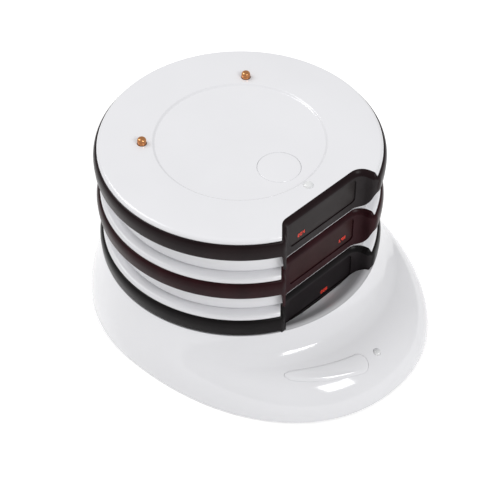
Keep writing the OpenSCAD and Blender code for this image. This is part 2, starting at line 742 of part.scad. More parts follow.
module base_board() color(GREEN) {
    difference() {
        translate([0, 0, base_board_z]) linear_extrude(board_t) intersection() {
            base_outline(base_wall + 3);
            translate([-BIG / 2, jack_y - 1 - BIG]) square(BIG);
        }
        at_base_screws() cylinder(d = post_d + 2 * gap, h = BIG, $fn = FINE);
    }
    // switch under the leaf key, with its plunger
    at_key() translate([-3, -3, base_board_top]) cube([6, 6, key_switch_top - base_board_top - 0.5]);
    at_key() translate([0, 0, base_board_top])
        cylinder(d = 3, h = key_switch_top - base_board_top, $fn = FINE);
    // lamp under the status light
    translate([-1, -dot_y - 1, base_board_top]) cube([2, 2, 1.1]);
    // controller, radio module with its can, regulator and capacitors
    translate([-5, -20, base_board_top]) cube([10, 10, 1.4]);
    translate([8, -46, base_board_top]) cube([16, 20, 2.2]);
    translate([-16, 24, base_board_top]) cube([7, 6, 2]);
    for (x = [-4, 6]) translate([x, 30, base_board_top]) cylinder(d = 6, h = 6, $fn = FINE);
}

module dc_jack() color(BLACK) {
    difference() {
        jack_block(0, jack_l);
        translate([0, jack_y + 3.5, plate_top + jack_h / 2]) rotate([-90, 0, 0])
            cylinder(d = jack_bore_d, h = jack_l, $fn = FINE);
    }
    translate([0, jack_y + 3, plate_top + jack_h / 2]) rotate([-90, 0, 0])
        cylinder(d = 2, h = jack_l - 4.5, $fn = FINE);
}

module base_plate() color(WHITE) {
    difference() {
        translate([0, 0, plate_z]) linear_extrude(base_plate_t) base_outline(plate_in);
        at_base_screws() cylinder(d = screw_d + 2 * gap, h = BIG, $fn = FINE);
        at_base_screws() translate([0, 0, plate_z - 1])
            cylinder(d = head_d + 2 * fit, h = base_screw_z + head_t - plate_z + 1, $fn = FINE);
        for (p = feet_at) translate([p[0], p[1], plate_z - 1])
            cylinder(d = foot_d + 2 * fit, h = foot_inset + 1, $fn = FINE);
    }
    at_standoffs() translate([0, 0, plate_top - EPS])
        cylinder(d = 5, h = base_board_z - plate_top + EPS, $fn = FINE);
}

module base_feet() color(BLACK) for (p = feet_at)
    translate([p[0], p[1], 0]) cylinder(d = foot_d, h = plate_z + foot_inset, $fn = FINE);

module base_screws() color(STEEL) at_base_screws()
    translate([0, 0, base_screw_z]) screw(base_screw_top - base_screw_z);

// ---- parts ----

for (k = PAGERS) {
    at_pager(k) top_cover();
    at_pager(k) light_ring();
    at_pager(k) display_lens();
    at_pager(k) display_module();
    at_pager(k) call_button();
    at_pager(k) status_lens();
    at_pager(k) contact_pin(-1);
    at_pager(k) contact_pin(1);
    at_pager(k) pin_barrels();
    at_pager(k) circuit_board();
    at_pager(k) battery();
    at_pager(k) motor();
    at_pager(k) motor_weight();
    at_pager(k) charge_pads();
    at_pager(k) bottom_shell();
    at_pager(k) screws();
}
at_base() base_cover();
at_base() base_key();
at_base() base_status_lens();
at_base() base_contact_pin(-1);  // base_contact_pin_left
at_base() base_contact_pin(1);  // base_contact_pin_right
at_base() base_pin_barrels();
at_base() base_board();
at_base() dc_jack();
at_base() base_plate();
at_base() base_feet();
at_base() base_screws();
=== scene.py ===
"""Looks of a guest pager system: three round coaster pagers stacked in the cup of a charging base.

Shapes are drawn in millimetres in the frame of one pager or of the base, and are put in place in metres.
The display side faces -Y, and the table is z = 0.
"""

from __future__ import annotations

import json
import logging
import math
from dataclasses import dataclass, field, replace
from enum import Enum
from typing import Callable, ClassVar, Iterable, Sequence

import bmesh
import bpy
from mathutils import Matrix, Vector
from mathutils.bvhtree import BVHTree

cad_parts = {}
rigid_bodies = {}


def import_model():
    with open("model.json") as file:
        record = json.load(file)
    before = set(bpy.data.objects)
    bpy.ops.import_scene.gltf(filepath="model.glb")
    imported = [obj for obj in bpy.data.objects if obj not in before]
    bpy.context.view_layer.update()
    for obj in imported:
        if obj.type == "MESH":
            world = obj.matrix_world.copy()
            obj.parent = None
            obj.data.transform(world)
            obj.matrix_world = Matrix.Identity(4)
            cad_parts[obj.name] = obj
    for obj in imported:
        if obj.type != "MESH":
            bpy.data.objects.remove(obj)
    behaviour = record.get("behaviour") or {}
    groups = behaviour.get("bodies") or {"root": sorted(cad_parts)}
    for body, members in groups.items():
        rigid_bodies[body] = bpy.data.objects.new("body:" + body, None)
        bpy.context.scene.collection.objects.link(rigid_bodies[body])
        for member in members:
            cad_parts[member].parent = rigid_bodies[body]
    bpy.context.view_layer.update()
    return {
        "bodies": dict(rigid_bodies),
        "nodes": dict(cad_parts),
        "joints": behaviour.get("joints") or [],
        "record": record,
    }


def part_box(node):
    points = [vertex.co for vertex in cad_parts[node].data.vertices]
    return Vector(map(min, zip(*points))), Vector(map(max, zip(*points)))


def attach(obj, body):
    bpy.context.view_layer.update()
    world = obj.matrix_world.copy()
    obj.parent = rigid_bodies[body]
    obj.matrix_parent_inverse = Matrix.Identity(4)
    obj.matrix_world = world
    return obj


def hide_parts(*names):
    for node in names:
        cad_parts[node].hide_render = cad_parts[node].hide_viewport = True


LOG = logging.getLogger("pagers")
MM = 0.001
CREASE = 32.0
Point2 = tuple[float, float]
Point3 = tuple[float, float, float]
Object = bpy.types.Object
Material = bpy.types.Material
Tree = bpy.types.NodeTree
Socket = bpy.types.NodeSocket


class Cut(Enum):
    """What a solid does to the one that it is combined with."""

    OUT = "DIFFERENCE"
    ADD = "UNION"
    KEEP = "INTERSECT"


class Side(Enum):
    """Side of the stack's axis, seen from the front."""

    LEFT = -1
    RIGHT = 1

    @property
    def label(self) -> str:
        """Name of the side in the names of nodes and bodies."""
        return self.name.lower()


# ---- finishes ----


def srgb(code: str, alpha: float = 1.0) -> tuple[float, float, float, float]:
    """Turns an sRGB hex colour into Blender's linear colour.

    Args:
        code: six hex digits.
        alpha: the fourth value.

    Returns:
        Linear red, green and blue, and alpha.
    """
    parts = [int(code[i : i + 2], 16) / 255 for i in (0, 2, 4)]
    linear = [c / 12.92 if c <= 0.04045 else ((c + 0.055) / 1.055) ** 2.4 for c in parts]
    return (*linear, alpha)


def add_node(tree: Tree, kind: str, inputs: dict | None = None, **settings: object) -> bpy.types.Node:
    """Adds a node with its settings, values and links.

    Args:
        tree: the tree that gets the node.
        kind: the node's type name.
        inputs: a value or an output socket for each input, by name or by index.
        settings: properties of the node itself.

    Returns:
        The new node.
    """
    node = tree.nodes.new(kind)
    for key, value in settings.items():
        setattr(node, key, value)
    for key, value in (inputs or {}).items():
        if isinstance(value, Socket):
            tree.links.new(value, node.inputs[key])
        else:
            node.inputs[key].default_value = value
    return node


def clear_tree(data: bpy.types.ID) -> Tree:
    """Turns a block's nodes on and gives its tree, emptied."""
    data.use_nodes = True
    data.node_tree.nodes.clear()
    return data.node_tree


def ramp_between(tree: Tree, factor: Socket, dark: str, light: str) -> Socket:
    """Blends two colours by a factor.

    Args:
        tree: the material's tree.
        factor: output that drives the blend.
        dark: hex colour at a factor of 0.3.
        light: hex colour at a factor of 0.7.

    Returns:
        The colour output.
    """
    ramp = add_node(tree, "ShaderNodeValToRGB", {"Fac": factor})
    for stop, position, code in zip(ramp.color_ramp.elements, (0.3, 0.7), (dark, light), strict=True):
        stop.position, stop.color = position, srgb(code)
    return ramp.outputs["Color"]


@dataclass(frozen=True)
class Finish:
    """A moulded, plated or rolled surface: a blend of two close colours, a sheen and a fine relief."""

    name: str
    dark: str
    light: str
    roughness: float = 0.3
    metallic: float = 0.0
    ior: float = 1.5
    coat: float = 0.0
    grain_mm: float = 6.0
    relief: float = 0.05
    relief_mm: float = 1.5
    stretch: Point3 = (1.0, 1.0, 1.0)
    smudge: float = 0.04
    transmission: float = 0.0
    glow: float = 0.0

    def build(self) -> Material:
        """Makes the material."""
        material = bpy.data.materials.new(self.name)
        tree = clear_tree(material)
        place = add_node(tree, "ShaderNodeTexCoord").outputs["Object"]
        spread = add_node(tree, "ShaderNodeMapping", {"Vector": place, "Scale": self.stretch}).outputs["Vector"]
        cloud, fine = (
            add_node(
                tree, "ShaderNodeTexNoise", {"Vector": spread, "Scale": 1 / (size * MM), "Detail": detail}
            ).outputs["Fac"]
            for size, detail in ((self.grain_mm, 3.0), (self.relief_mm, 2.0))
        )
        dull, smudge = self.roughness, self.smudge / 2
        gloss = add_node(
            tree, "ShaderNodeMapRange", {"Value": cloud, "To Min": dull - smudge, "To Max": dull + smudge}
        ).outputs["Result"]
        bump = add_node(
            tree, "ShaderNodeBump", {"Height": fine, "Strength": self.relief, "Distance": 0.1 * MM}
        ).outputs["Normal"]
        shader = add_node(tree, "ShaderNodeBsdfPrincipled", {
            "Base Color": ramp_between(tree, cloud, self.dark, self.light), "Roughness": gloss, "Normal": bump,
            "Metallic": self.metallic, "IOR": self.ior, "Coat Weight": self.coat, "Coat Roughness": 0.04,
            "Transmission Weight": self.transmission, "Emission Color": srgb(self.light),
            "Emission Strength": self.glow,
        })
        add_node(tree, "ShaderNodeOutputMaterial", {"Surface": shader.outputs["BSDF"]})
        return material


def trio(name: str, *tones: tuple[str, str, str], **look: float) -> dict[int, Finish]:
    """Gives one finish in a tone for each pager.

    Args:
        name: name of the finish without its tone.
        tones: name, dark colour and light colour for each pager, from the lowest.
        look: the finish's other values.

    Returns:
        The finish of each pager by its number.
    """
    return {k: Finish(f"{name}_{tone}", dark, light, **look) for k, (tone, dark, light) in enumerate(tones, 1)}


# Gloss ABS, injection moulded in a polished tool: a clean mirror coat over white, barely uneven.
GLOSS_ABS = Finish(
    "gloss_abs_white", "e8e8eb", "ebebee", roughness=0.18, coat=0.3, grain_mm=30, relief=0.01, relief_mm=9, smudge=0.02
)
# The same plastic on the base, which is one large blown-up curve and shows soft window-like streaks.
BASE_ABS = replace(GLOSS_ABS, name="gloss_abs_base", roughness=0.12, coat=0.5, relief=0.012, relief_mm=12)
# ABS from a finely eroded tool, on faces that lie on a table or in the cup: a dull white.
MATT_ABS = Finish("eroded_abs_white", "dddfe3", "e6e8eb", roughness=0.5, relief=0.2, relief_mm=0.5)
# Smoked polycarbonate, moulded in a polished tool: nearly black, with a brown or maroon cast in the light.
# A plain IOR of 1.58 mirrors the white table too strongly, so it is matched to the photograph, as are the next two.
SMOKED_RINGS = trio(
    "smoked_polycarbonate", ("black", "0d0b0c", "151112"), ("maroon", "1f070b", "2a0c11"),
    ("brown", "170d0f", "1f1315"), roughness=0.3, ior=1.2, relief=0.02, relief_mm=5,
)
# The same part where the tool is finely eroded, round the display: a satin face, a little paler than the ring.
SATIN_FACES = trio(
    "satin_polycarbonate", ("black", "242022", "2a2628"), ("maroon", "2b1518", "33191d"),
    ("brown", "2a2627", "322e2f"), roughness=0.5, ior=1.2, relief=0.1, relief_mm=0.5,
)
# Tinted acrylic, cast and laser cut: a flat pane a little greyer than the face round it.
TINTED_PANES = trio(
    "tinted_acrylic", ("black", "221e20", "282426"), ("maroon", "311e1e", "382324"),
    ("grey", "302c2c", "353131"), roughness=0.3, ior=1.14, relief=0.01, relief_mm=8,
)
# Clear acrylic, moulded: it shows what lies under it, with a bright edge.
CLEAR_ACRYLIC = Finish(
    "clear_acrylic", "f2f5f8", "ffffff", roughness=0.05, ior=1.49, transmission=0.2, relief=0.01, smudge=0.02
)
# Hard gold over copper, electroplated on a turned pin: a warm copper sheen with fine turning lines.
GOLD_PLATE = Finish(
    "gold_plated_brass", "b9764a", "dca06c", roughness=0.24, metallic=1.0, relief=0.25, relief_mm=0.5,
    stretch=(0.15, 0.15, 4.0), grain_mm=2.0,
)
# Nickel plate on a drawn can: a cool grey with a drawn grain.
NICKEL = Finish("nickel_plate", "a7a9ac", "c2c4c6", roughness=0.28, metallic=1.0, stretch=(1, 1, 0.2), relief=0.1)
# Sintered tungsten, tumbled: dark, dull metal.
TUNGSTEN = Finish("sintered_tungsten", "55555a", "6c6c70", roughness=0.5, metallic=1.0, relief=0.3, relief_mm=0.4)
# Zinc-plated steel, cold headed: bright with a blue cast.
ZINC_STEEL = Finish("zinc_plated_steel", "9a9ea4", "b6babf", roughness=0.34, metallic=1.0, relief=0.12, relief_mm=0.6)
# Glass-epoxy laminate under solder mask: deep green with a wet gloss and a faint weave.
SOLDER_MASK = Finish("solder_mask_green", "14502c", "1c6438", roughness=0.25, coat=0.3, relief=0.15, relief_mm=0.5)
# Aluminium laminate pouch of a lithium cell, cold formed: soft silver with small dents.
POUCH_FOIL = Finish("aluminium_pouch", "b3b6ba", "cfd1d5", roughness=0.36, metallic=1.0, relief=0.4, relief_mm=5)
# Black nylon, glass filled and moulded: matt with a dry grain.
BLACK_NYLON = Finish("glass_filled_nylon", "161618", "232326", roughness=0.48, relief=0.25, relief_mm=0.5)
# Silicone rubber, pressed: dark grey, dull and slightly dusty.
SILICONE = Finish("silicone_rubber", "1e1e20", "2c2c2f", roughness=0.7, relief=0.3, relief_mm=0.7, smudge=0.15)
# Red light-emitting dots behind the pane.
RED_DOTS = Finish("red_led_dots", "c8301f", "e23a26", roughness=0.4, glow=0.75)


class FinishRack:
    """Builds each finish once and hands it out."""

    def __init__(self) -> None:
        """Starts with no material made."""
        self._made: dict[str, Material] = {}

    def get(self, finish: Finish) -> Material:
        """Returns the material of a finish, made at its first use."""
        if finish.name not in self._made:
            self._made[finish.name] = finish.build()
        return self._made[finish.name]


# ---- solids in millimetres ----


def link(name: str, data: bpy.types.ID) -> Object:
    """Makes an object of some data and links it to the scene."""
    made = bpy.data.objects.new(name, data)
    bpy.context.scene.collection.objects.link(made)
    return made


def twin(piece: Object) -> Object:
    """Copies a piece with its own mesh."""
    return link(piece.name, piece.data.copy())


def solid(name: str, points: Iterable[Sequence[float]], faces: Iterable[Sequence[int]]) -> Object:
    """Makes a mesh object with its doubles merged and its faces pointing outwards.

    Args:
        name: name of the object.
        points: corners in millimetres.
        faces: corner numbers of each face.

    Returns:
        The object, linked to the scene.
    """
    mesh = bpy.data.meshes.new(name)
    mesh.from_pydata([tuple(p) for p in points], [], [tuple(f) for f in faces])
    work = bmesh.new()
    work.from_mesh(mesh)
    bmesh.ops.remove_doubles(work, verts=work.verts, dist=1e-5)
    bmesh.ops.recalc_face_normals(work, faces=work.faces)
    work.to_mesh(mesh)
    work.free()
    return link(name, mesh)


def lathe(name: str, outline: Sequence[Point2], centre: Point2 = (0.0, 0.0), sides: int = 64) -> Object:
    """Turns a closed outline of radius and height round the vertical axis.

    Args:
        name: name of the object.
        outline: radius and height of each corner, in order.
        centre: place of the axis.
        sides: number of steps round the axis.

    Returns:
        The turned solid.
    """
    count = len(outline)
    turns = [2 * math.pi * i / sides for i in range(sides)]
    points = [(centre[0] + r * math.cos(a), centre[1] + r * math.sin(a), z) for a in turns for r, z in outline]
    faces = []
    for i in range(sides):
        here, there = i * count, (i + 1) % sides * count
        for j in range(count):
            k = (j + 1) % count
            if outline[j][0] > 0 or outline[k][0] > 0:
                corners = [here + j, there + j, there + k, here + k]
                if outline[j][0] == 0:
                    corners.remove(there + j)
                if outline[k][0] == 0:
                    corners.remove(there + k)
                faces.append(corners)
    return solid(name, points, faces)


def drum(radius: float, low: float, high: float, centre: Point2, sides: int = 64) -> Object:
    """Makes a plain cylinder that cuts or adds a round form."""
    return lathe("drum", [(0, low), (radius, low), (radius, high), (0, high)], centre, sides)


def loft(name: str, rings: Sequence[Sequence[Sequence[float]]], capped: bool = True) -> Object:
    """Joins closed rings of equally many points, and caps the first and the last.

    Args:
        name: name of the object.
        rings: the rings, in order.
        capped: False joins the last ring to the first instead.

    Returns:
        The lofted solid.
    """
    size, total = len(rings[0]), len(rings)
    points = [p for ring in rings for p in ring]
    faces = []
    for i in range(total - 1 if capped else total):
        here, there = i * size, (i + 1) % total * size
        faces += [(here + j, here + (j + 1) % size, there + (j + 1) % size, there + j) for j in range(size)]
    if capped:
        faces += [tuple(range(size)), tuple((total - 1) * size + j for j in range(size))]
    return solid(name, points, faces)


def prism(name: str, outline: Sequence[Point2], low: float, high: float) -> Object:
    """Raises a closed outline from one height to another."""
    return loft(name, [[(x, y, z) for x, y in outline] for z in (low, high)])


def block(low: Sequence[float], high: Sequence[float]) -> Object:
    """Makes a box from its lowest to its highest corner."""
    ring = [(low[0], low[1]), (high[0], low[1]), (high[0], high[1]), (low[0], high[1])]
    return prism("block", ring, low[2], high[2])


def rounded(width: float, height: float, radius: float, steps: int = 8) -> list[Point2]:
    """Gives the outline of a rectangle with round corners, about the origin."""
    corners = []
    for quarter, (sx, sy) in enumerate(((1, 1), (-1, 1), (-1, -1), (1, -1))):
        for i in range(steps + 1):
            x, y = polar(radius, 90 * (quarter + i / steps))
            corners.append((sx * (width / 2 - radius) + x, sy * (height / 2 - radius) + y))
    return corners


def combine(base: Object, tool: Object, how: Cut) -> Object:
    """Combines two solids and removes the second.

    Args:
        base: the solid that is changed.
        tool: the solid that is used up.
        how: whether the second is cut out, added or kept in common.

    Returns:
        The changed solid.
    """
    step = base.modifiers.new("combine", "BOOLEAN")
    step.operation = how.value
    step.solver = "EXACT"
    step.object = tool
    bake(base)
    bpy.data.objects.remove(tool)
    return base


def drums(base: Object, spots: Iterable[Point2], *steps: tuple[Cut, float, float, float, int]) -> None:
    """Adds or cuts drums at each spot, one after another.

    Args:
        base: the solid that is changed.
        spots: axes of the drums.
        steps: for each drum, what it does, its radius, its lower and upper height and its sides.
    """
    for spot in spots:
        for how, radius, low, high, sides in steps:
            combine(base, drum(radius, low, high, spot, sides), how)


def bake(piece: Object) -> Object:
    """Turns a piece's evaluated shape into its plain mesh and removes its modifiers."""
    bpy.context.view_layer.update()
    graph = bpy.context.evaluated_depsgraph_get()
    mesh = bpy.data.meshes.new_from_object(piece.evaluated_get(graph))
    piece.modifiers.clear()
    piece.data = mesh
    return piece


def smooth(piece: Object, angle: float = CREASE) -> Object:
    """Shades a piece smooth, apart from the edges that turn by more than an angle in degrees."""
    work = bmesh.new()
    work.from_mesh(piece.data)
    bmesh.ops.remove_doubles(work, verts=work.verts, dist=1e-4)
    bmesh.ops.dissolve_degenerate(work, edges=work.edges, dist=1e-5)
    limit = math.radians(angle)
    for face in work.faces:
        face.smooth = True
    for edge in work.edges:
        edge.smooth = len(edge.link_faces) == 2 and edge.calc_face_angle(0.0) < limit
    work.to_mesh(piece.data)
    work.free()
    return piece


def polar(radius: float, turn: float) -> Point2:
    """Gives the point at a radius and at an angle in degrees."""
    return radius * math.cos(math.radians(turn)), radius * math.sin(math.radians(turn))


def arc(steps: int, start: float = 0.0, end: float = 90.0) -> list[Point2]:
    """Gives cosine and sine at even steps between two angles in degrees."""
    return [polar(1, start + (end - start) * i / steps) for i in range(steps + 1)]


def ease(share: float) -> float:
    """Smooth step from 0 to 1."""
    share = min(max(share, 0.0), 1.0)
    return share * share * (3 - 2 * share)


# ---- fitting a piece into the frame ----


@dataclass
class Dresser:
    """Puts finished pieces in place, gives them their finish and ties them to their bodies."""

    frame: dict
    rack: FinishRack = field(default_factory=FinishRack)
    count: int = 0

    def put(
        self, piece: Object, name: str, body: str, finish: Finish, shift: Vector, *,
        slot: str | None = None, replaces: Sequence[str] = (),
    ) -> None:
        """Places a piece that was drawn in millimetres.

        Args:
            piece: the piece, which is used up.
            name: its name in the model.
            body: the body that it moves with.
            finish: its finish.
            shift: place of its own frame, in metres.
            slot: not used.
            replaces: CAD nodes that it stands for.
        """
        piece.data.transform(Matrix.Translation(shift) @ Matrix.Scale(MM, 4))
        piece.name = piece.data.name = name
        self.paint(piece, finish)
        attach(piece, body)
        if replaces:
            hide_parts(*replaces)
        self.count += 1
        LOG.info("piece %s on %s: %d faces", name, body, len(piece.data.polygons))

    def paint(self, piece: Object, finish: Finish) -> None:
        """Gives a piece one finish."""
        piece.data.materials.clear()
        piece.data.materials.append(self.rack.get(finish))

    def dress(self, node: str, finish: Finish, slot: str) -> None:
        """Gives a CAD node a finish and smooth shading, with its shape left alone."""
        piece = self.frame["nodes"][node]
        self.paint(piece, finish)
        for face in piece.data.polygons:
            face.material_index = 0
            face.use_smooth = True
        weld = piece.modifiers.new("weld", "WELD")
        weld.merge_threshold = 1e-6
        split = piece.modifiers.new("creases", "EDGE_SPLIT")
        split.split_angle = math.radians(CREASE)
        LOG.info("node %s: %s", node, finish.name)


# ---- pager ----


@dataclass(frozen=True)
class Station:
    """A place on the pager's outline, where a section of the light ring stands."""

    at: Vector
    inward: Vector
    bay: float
    thin: float


@dataclass(frozen=True)
class Flank:
    """One end of the display: where it lies, and the round corner and the wall that lead out to the rim."""

    half_w: float
    inner_r: float
    flare: float
    sweep: float
    sweep_run: float


@dataclass
class DisplayBay:
    """Outline of the pager, a circle with the bay in which the upright display stands."""

    ring_r: float
    panel_y: float = 39.1
    flanks: dict[Side, Flank] = field(
        default_factory=lambda: {
            Side.LEFT: Flank(19.3, 3.0, 46.0, 3.4, 2.6),
            Side.RIGHT: Flank(18.3, 3.6, 14.0, 0.3, 6.0),
        }
    )
    corner_r: float = 2.2
    thin_run: float = 5.0
    far: float = 20.0
    wall_share: float = 0.86
    panel_steps: int = 16
    corner_steps: int = 12
    tip_steps: int = 10
    rim_steps: int = 150

    def wall(self, side: Side) -> tuple[Vector, Vector, Vector]:
        """Gives the corner's centre of a wall drawn on the right, the wall's direction and its inward direction."""
        flank = self.flanks[side]
        normal = Vector(polar(1, flank.flare))
        centre = Vector((flank.half_w - flank.inner_r, -self.panel_y - flank.inner_r))
        return centre, Vector((normal.y, -normal.x)), normal

    def half(self, side: Side) -> list[Station]:
        """Gives the stations of one half, from the middle of the display to the back.

        Args:
            side: the half, which is drawn as if it lay on the right.

        Returns:
            The stations in order.
        """
        flank = self.flanks[side]
        corner, along, normal = self.wall(side)
        made = []
        for i in range(self.panel_steps):
            made.append(Station(Vector((corner.x * i / self.panel_steps, -self.panel_y)), Vector((0, 1)), 1, 1))
        for i in range(self.corner_steps + 1):
            out = Vector(polar(1, 90 - (90 - flank.flare) * i / self.corner_steps))
            made.append(Station(corner + out * flank.inner_r, out, 1, 1))
        start = corner + normal * flank.inner_r
        base = start + normal * self.corner_r
        reach = base.dot(along)
        run = -reach + math.sqrt(reach * reach + (self.ring_r - self.corner_r) ** 2 - base.length_squared)
        for i in range(1, self.corner_steps + 1):
            made.append(Station(start + along * (run * i / self.corner_steps), normal, 1, 1))
        centre = base + along * run
        first = math.degrees(math.atan2(-normal.y, -normal.x))
        last = math.degrees(math.atan2(centre.y, centre.x))
        for i in range(1, self.tip_steps + 1):
            share = i / self.tip_steps
            out = Vector(polar(1, first + (last - first) * share))
            made.append(Station(centre + out * self.corner_r, -out, 1 - ease(share), 1))
        for i in range(1, self.rim_steps + 1):
            turn = (90 - last) * i / self.rim_steps
            out = Vector(polar(1, last + turn))
            away = math.radians(turn) * self.ring_r
            made.append(Station(out * self.ring_r, -out, 0, 1 - ease(away / self.thin_run)))
        return made

    def stations(self) -> list[Station]:
        """Gives all stations round the pager."""
        left = [
            Station(Vector((-s.at.x, s.at.y)), Vector((-s.inward.x, s.inward.y)), s.bay, s.thin)
            for s in reversed(self.half(Side.LEFT)[1:-1])
        ]
        return self.half(Side.RIGHT) + left

    def core(self, levels: Sequence[Point2]) -> Object:
        """Makes a solid with the pager's outline.

        Args:
            levels: height, and how far the outline is drawn in there.

        Returns:
            The solid.
        """
        around = self.stations()
        return loft("core", [[(*(s.at + s.inward * inset), z) for s in around] for z, inset in levels])

    def opening(self, levels: Sequence[Point2]) -> Object:
        """Makes the solid that cuts the bay.

        Args:
            levels: height, and how far the bay is grown there.

        Returns:
            The cutter.
        """
        rings = []
        for z, grow in levels:
            ends = {}
            for side in Side:
                half = [s for s in self.half(side) if s.bay == 1 and s.at.y > -self.ring_r * self.wall_share]
                points = [s.at + s.inward * grow for s in half]
                points.append(points[-1] + self.wall(side)[1] * self.far)
                ends[side] = [(side.value * p.x, p.y, z) for p in points]
            rings.append(ends[Side.LEFT][:0:-1] + ends[Side.RIGHT])
        return loft("bay", rings)


@dataclass
class Pager:
    """One coaster pager, drawn with its seat at z = 0 and its axis through the origin."""

    ROUND: ClassVar[int] = 320
    # Outline, light ring and cover.
    ring_r: float = 50.0
    height: float = 18.0
    ring_low: float = 10.0
    ring_wall: float = 4.0
    step: float = 1.3
    cover_round: float = 1.5
    plate_t: float = 2.4
    # Lower shell.
    shell_step: float = 3.0
    shell_taper: float = 1.5
    seat_round: float = 1.8
    wall: float = 1.8
    floor_t: float = 1.8
    # Dish on top, and the rib and the relief underneath that fit it.
    dish_r: float = 30.0
    dish_depth: float = 0.7
    dish_edge: float = 1.2
    rib_r: float = 28.5
    rib_w: float = 2.0
    rib_drop: float = 0.4
    relief_r: float = 34.5
    relief_depth: float = 1.0
    # Display: bezel, satin face and pane.
    bezel_t: float = 0.9
    strip_w: float = 1.6
    shoulder: float = 2.0
    panel_low: float = 1.6
    wing_sweep: float = 1.8
    pane_w: float = 31.4
    pane_h: float = 10.2
    pane_z: float = 10.0
    pane_r: float = 1.5
    pane_deep: float = 0.6
    pane_t: float = 0.25
    # Call button, clear dome and contacts.
    button_r: float = 7.4
    button_y: float = -18.5
    button_proud: float = 0.25
    dome_r: float = 1.7
    dome_y: float = -31.9
    dome_proud: float = 0.9
    pin_r: float = 1.55
    pin_x: float = 24.8
    pin_y: float = 22.1
    pin_proud: float = 2.3
    pin_tail: float = 5.0
    # Circuit board, screw posts and charge pads.
    board_z: float = 9.0
    board_t: float = 1.2
    post_r: float = 3.2
    tap_r: float = 1.25
    screw_hole_r: float = 1.5
    screw_head_r: float = 2.25
    screw_head_z: float = 2.35
    pad_r: float = 4.05
    pad_z: float = 3.4
    pad_boss_r: float = 5.7
    pad_boss_z: float = 4.6
    # Edges of the light ring's section.
    edge_r: float = 0.5
    lip: float = 0.3
    swell: float = 3.0
    bulge: float = 0.22
    # Display module and the room behind the bezel.
    module_w: float = 30.0
    module_t: float = 1.4
    hatch_w: float = 33.0
    # Clearances.
    fit: float = 0.05
    pin_gap: float = 0.18
    seam: float = 0.06
    beyond: float = 1.0

    def __post_init__(self) -> None:
        """Works out the heights, radii and places that follow from the sizes."""
        self.ring_top = self.height - self.cover_round
        self.cover_r = self.ring_r - self.step
        self.ledge_z = self.ring_top - 2
        self.floor_z = self.relief_depth + self.floor_t
        self.board_top = self.board_z + self.board_t
        self.bay = DisplayBay(self.ring_r)
        self.shell_top_r = self.ring_r - self.shell_step
        self.shell_foot_r = self.shell_top_r - self.shell_taper
        self.spigot_r = self.ring_r - self.ring_wall - self.fit
        self.spigot_in = self.spigot_r - 1.6
        screw_ring = self.shell_foot_r - self.wall - self.post_r - 2.5
        self.screws = [polar(screw_ring, turn) for turn in (-18.5, 68.5, 111.5, 198.5)]
        self.pins = [(side.value * self.pin_x, self.pin_y) for side in Side]

    def cover_z(self, r: float) -> float:
        """Gives the height of the cover's rounded edge at a radius."""
        over = min(max(r - self.cover_r + self.cover_round, 0.0), self.cover_round)
        return self.ring_top + math.sqrt(self.cover_round**2 - over**2)

    def wing_low(self, at: Vector) -> float:
        """Gives the height of the smoked part's lower edge, which sweeps up along the bay's sides."""
        flank = self.bay.flanks[Side.LEFT if at.x < 0 else Side.RIGHT]
        share = min(max((abs(at.y) - self.bay.panel_y - flank.sweep) / flank.sweep_run, 0.0), 1.0)
        return self.panel_low + (self.ring_low - self.panel_low) * share**self.wing_sweep

    def ring_section(self, s: Station) -> list[Point3]:
        """Gives the closed section of the light ring at a station.

        Args:
            s: the station.

        Returns:
            Points from the lower outer edge up over the top and down the inside.
        """
        strip = self.step + (self.strip_w - self.step) * s.bay
        top_edge = s.at + s.inward * strip
        top = self.cover_z(top_edge.length)
        low = self.wing_low(s.at) if s.at.y < 0 and s.bay > 0 else self.ring_low
        edge, lip, foot = self.edge_r, self.lip, top - self.shoulder
        band = [(0.7 - edge * sn, self.ring_low + edge * (1 - cs)) for cs, sn in arc(4)]
        band += [(0.12, self.ring_low + 1.3), (0.04, self.ring_low + 2.4)]
        band += [((self.step - self.fit) * (1 - cs), self.ring_top - self.swell * (1 - sn)) for cs, sn in arc(10)]
        face = [(lip - lip * sn, low + lip * (1 - cs)) for cs, sn in arc(4)]
        face += [(0, low + (foot - low) * share) for share in (0.35, 0.7)]
        for i in range(11):
            share = i / 10
            bulge = self.bulge * math.sin(math.pi * share)
            face.append((self.strip_w * share - bulge * 0.8, foot + self.shoulder * share + bulge * 0.6))
        outer = [
            (b[0] + (f[0] - b[0]) * s.bay, b[1] + (f[1] - b[1]) * s.bay) for b, f in zip(band, face, strict=True)
        ]
        thick = self.ring_wall + (self.bezel_t - self.ring_wall) * s.thin
        deep = strip - self.fit
        inner_top = outer[-1][1]
        ledge = self.ledge_z + (inner_top - 0.9 - self.ledge_z) * s.thin
        inner = [(deep, ledge), (thick, ledge - lip * s.thin), (thick, outer[0][1])]
        return [(*(s.at + s.inward * u), z) for u, z in outer + inner]

    def ring(self) -> Object:
        """Builds the smoked light ring with the display's bezel in one piece."""
        made = loft("ring", [self.ring_section(s) for s in self.bay.stations()], capped=False)
        face = -self.bay.panel_y
        recess = loft("recess", [self.pane_ring(y, 0) for y in (face + self.pane_deep, face - self.beyond)])
        return combine(made, recess, Cut.OUT)

    def is_satin(self, middle: Vector, normal: Vector) -> bool:
        """Tells whether a face of the smoked part belongs to the satin face round the display."""
        rim, turn, slope = 0.7, -0.2, 0.35
        in_bay = middle.y < 1 - self.bay.panel_y and middle.xy.length < self.ring_r - rim
        turned = normal.y < turn or normal.x * math.copysign(1, middle.x) < turn
        return in_bay and turned and abs(normal.z) < slope

    def pane_ring(self, y: float, inset: float) -> list[Point3]:
        """Gives the display window's outline at a depth, drawn in by an inset."""
        outline = rounded(self.pane_w - 2 * inset, self.pane_h - 2 * inset, self.pane_r - inset)
        return [(x, y, z + self.pane_z) for x, z in outline]

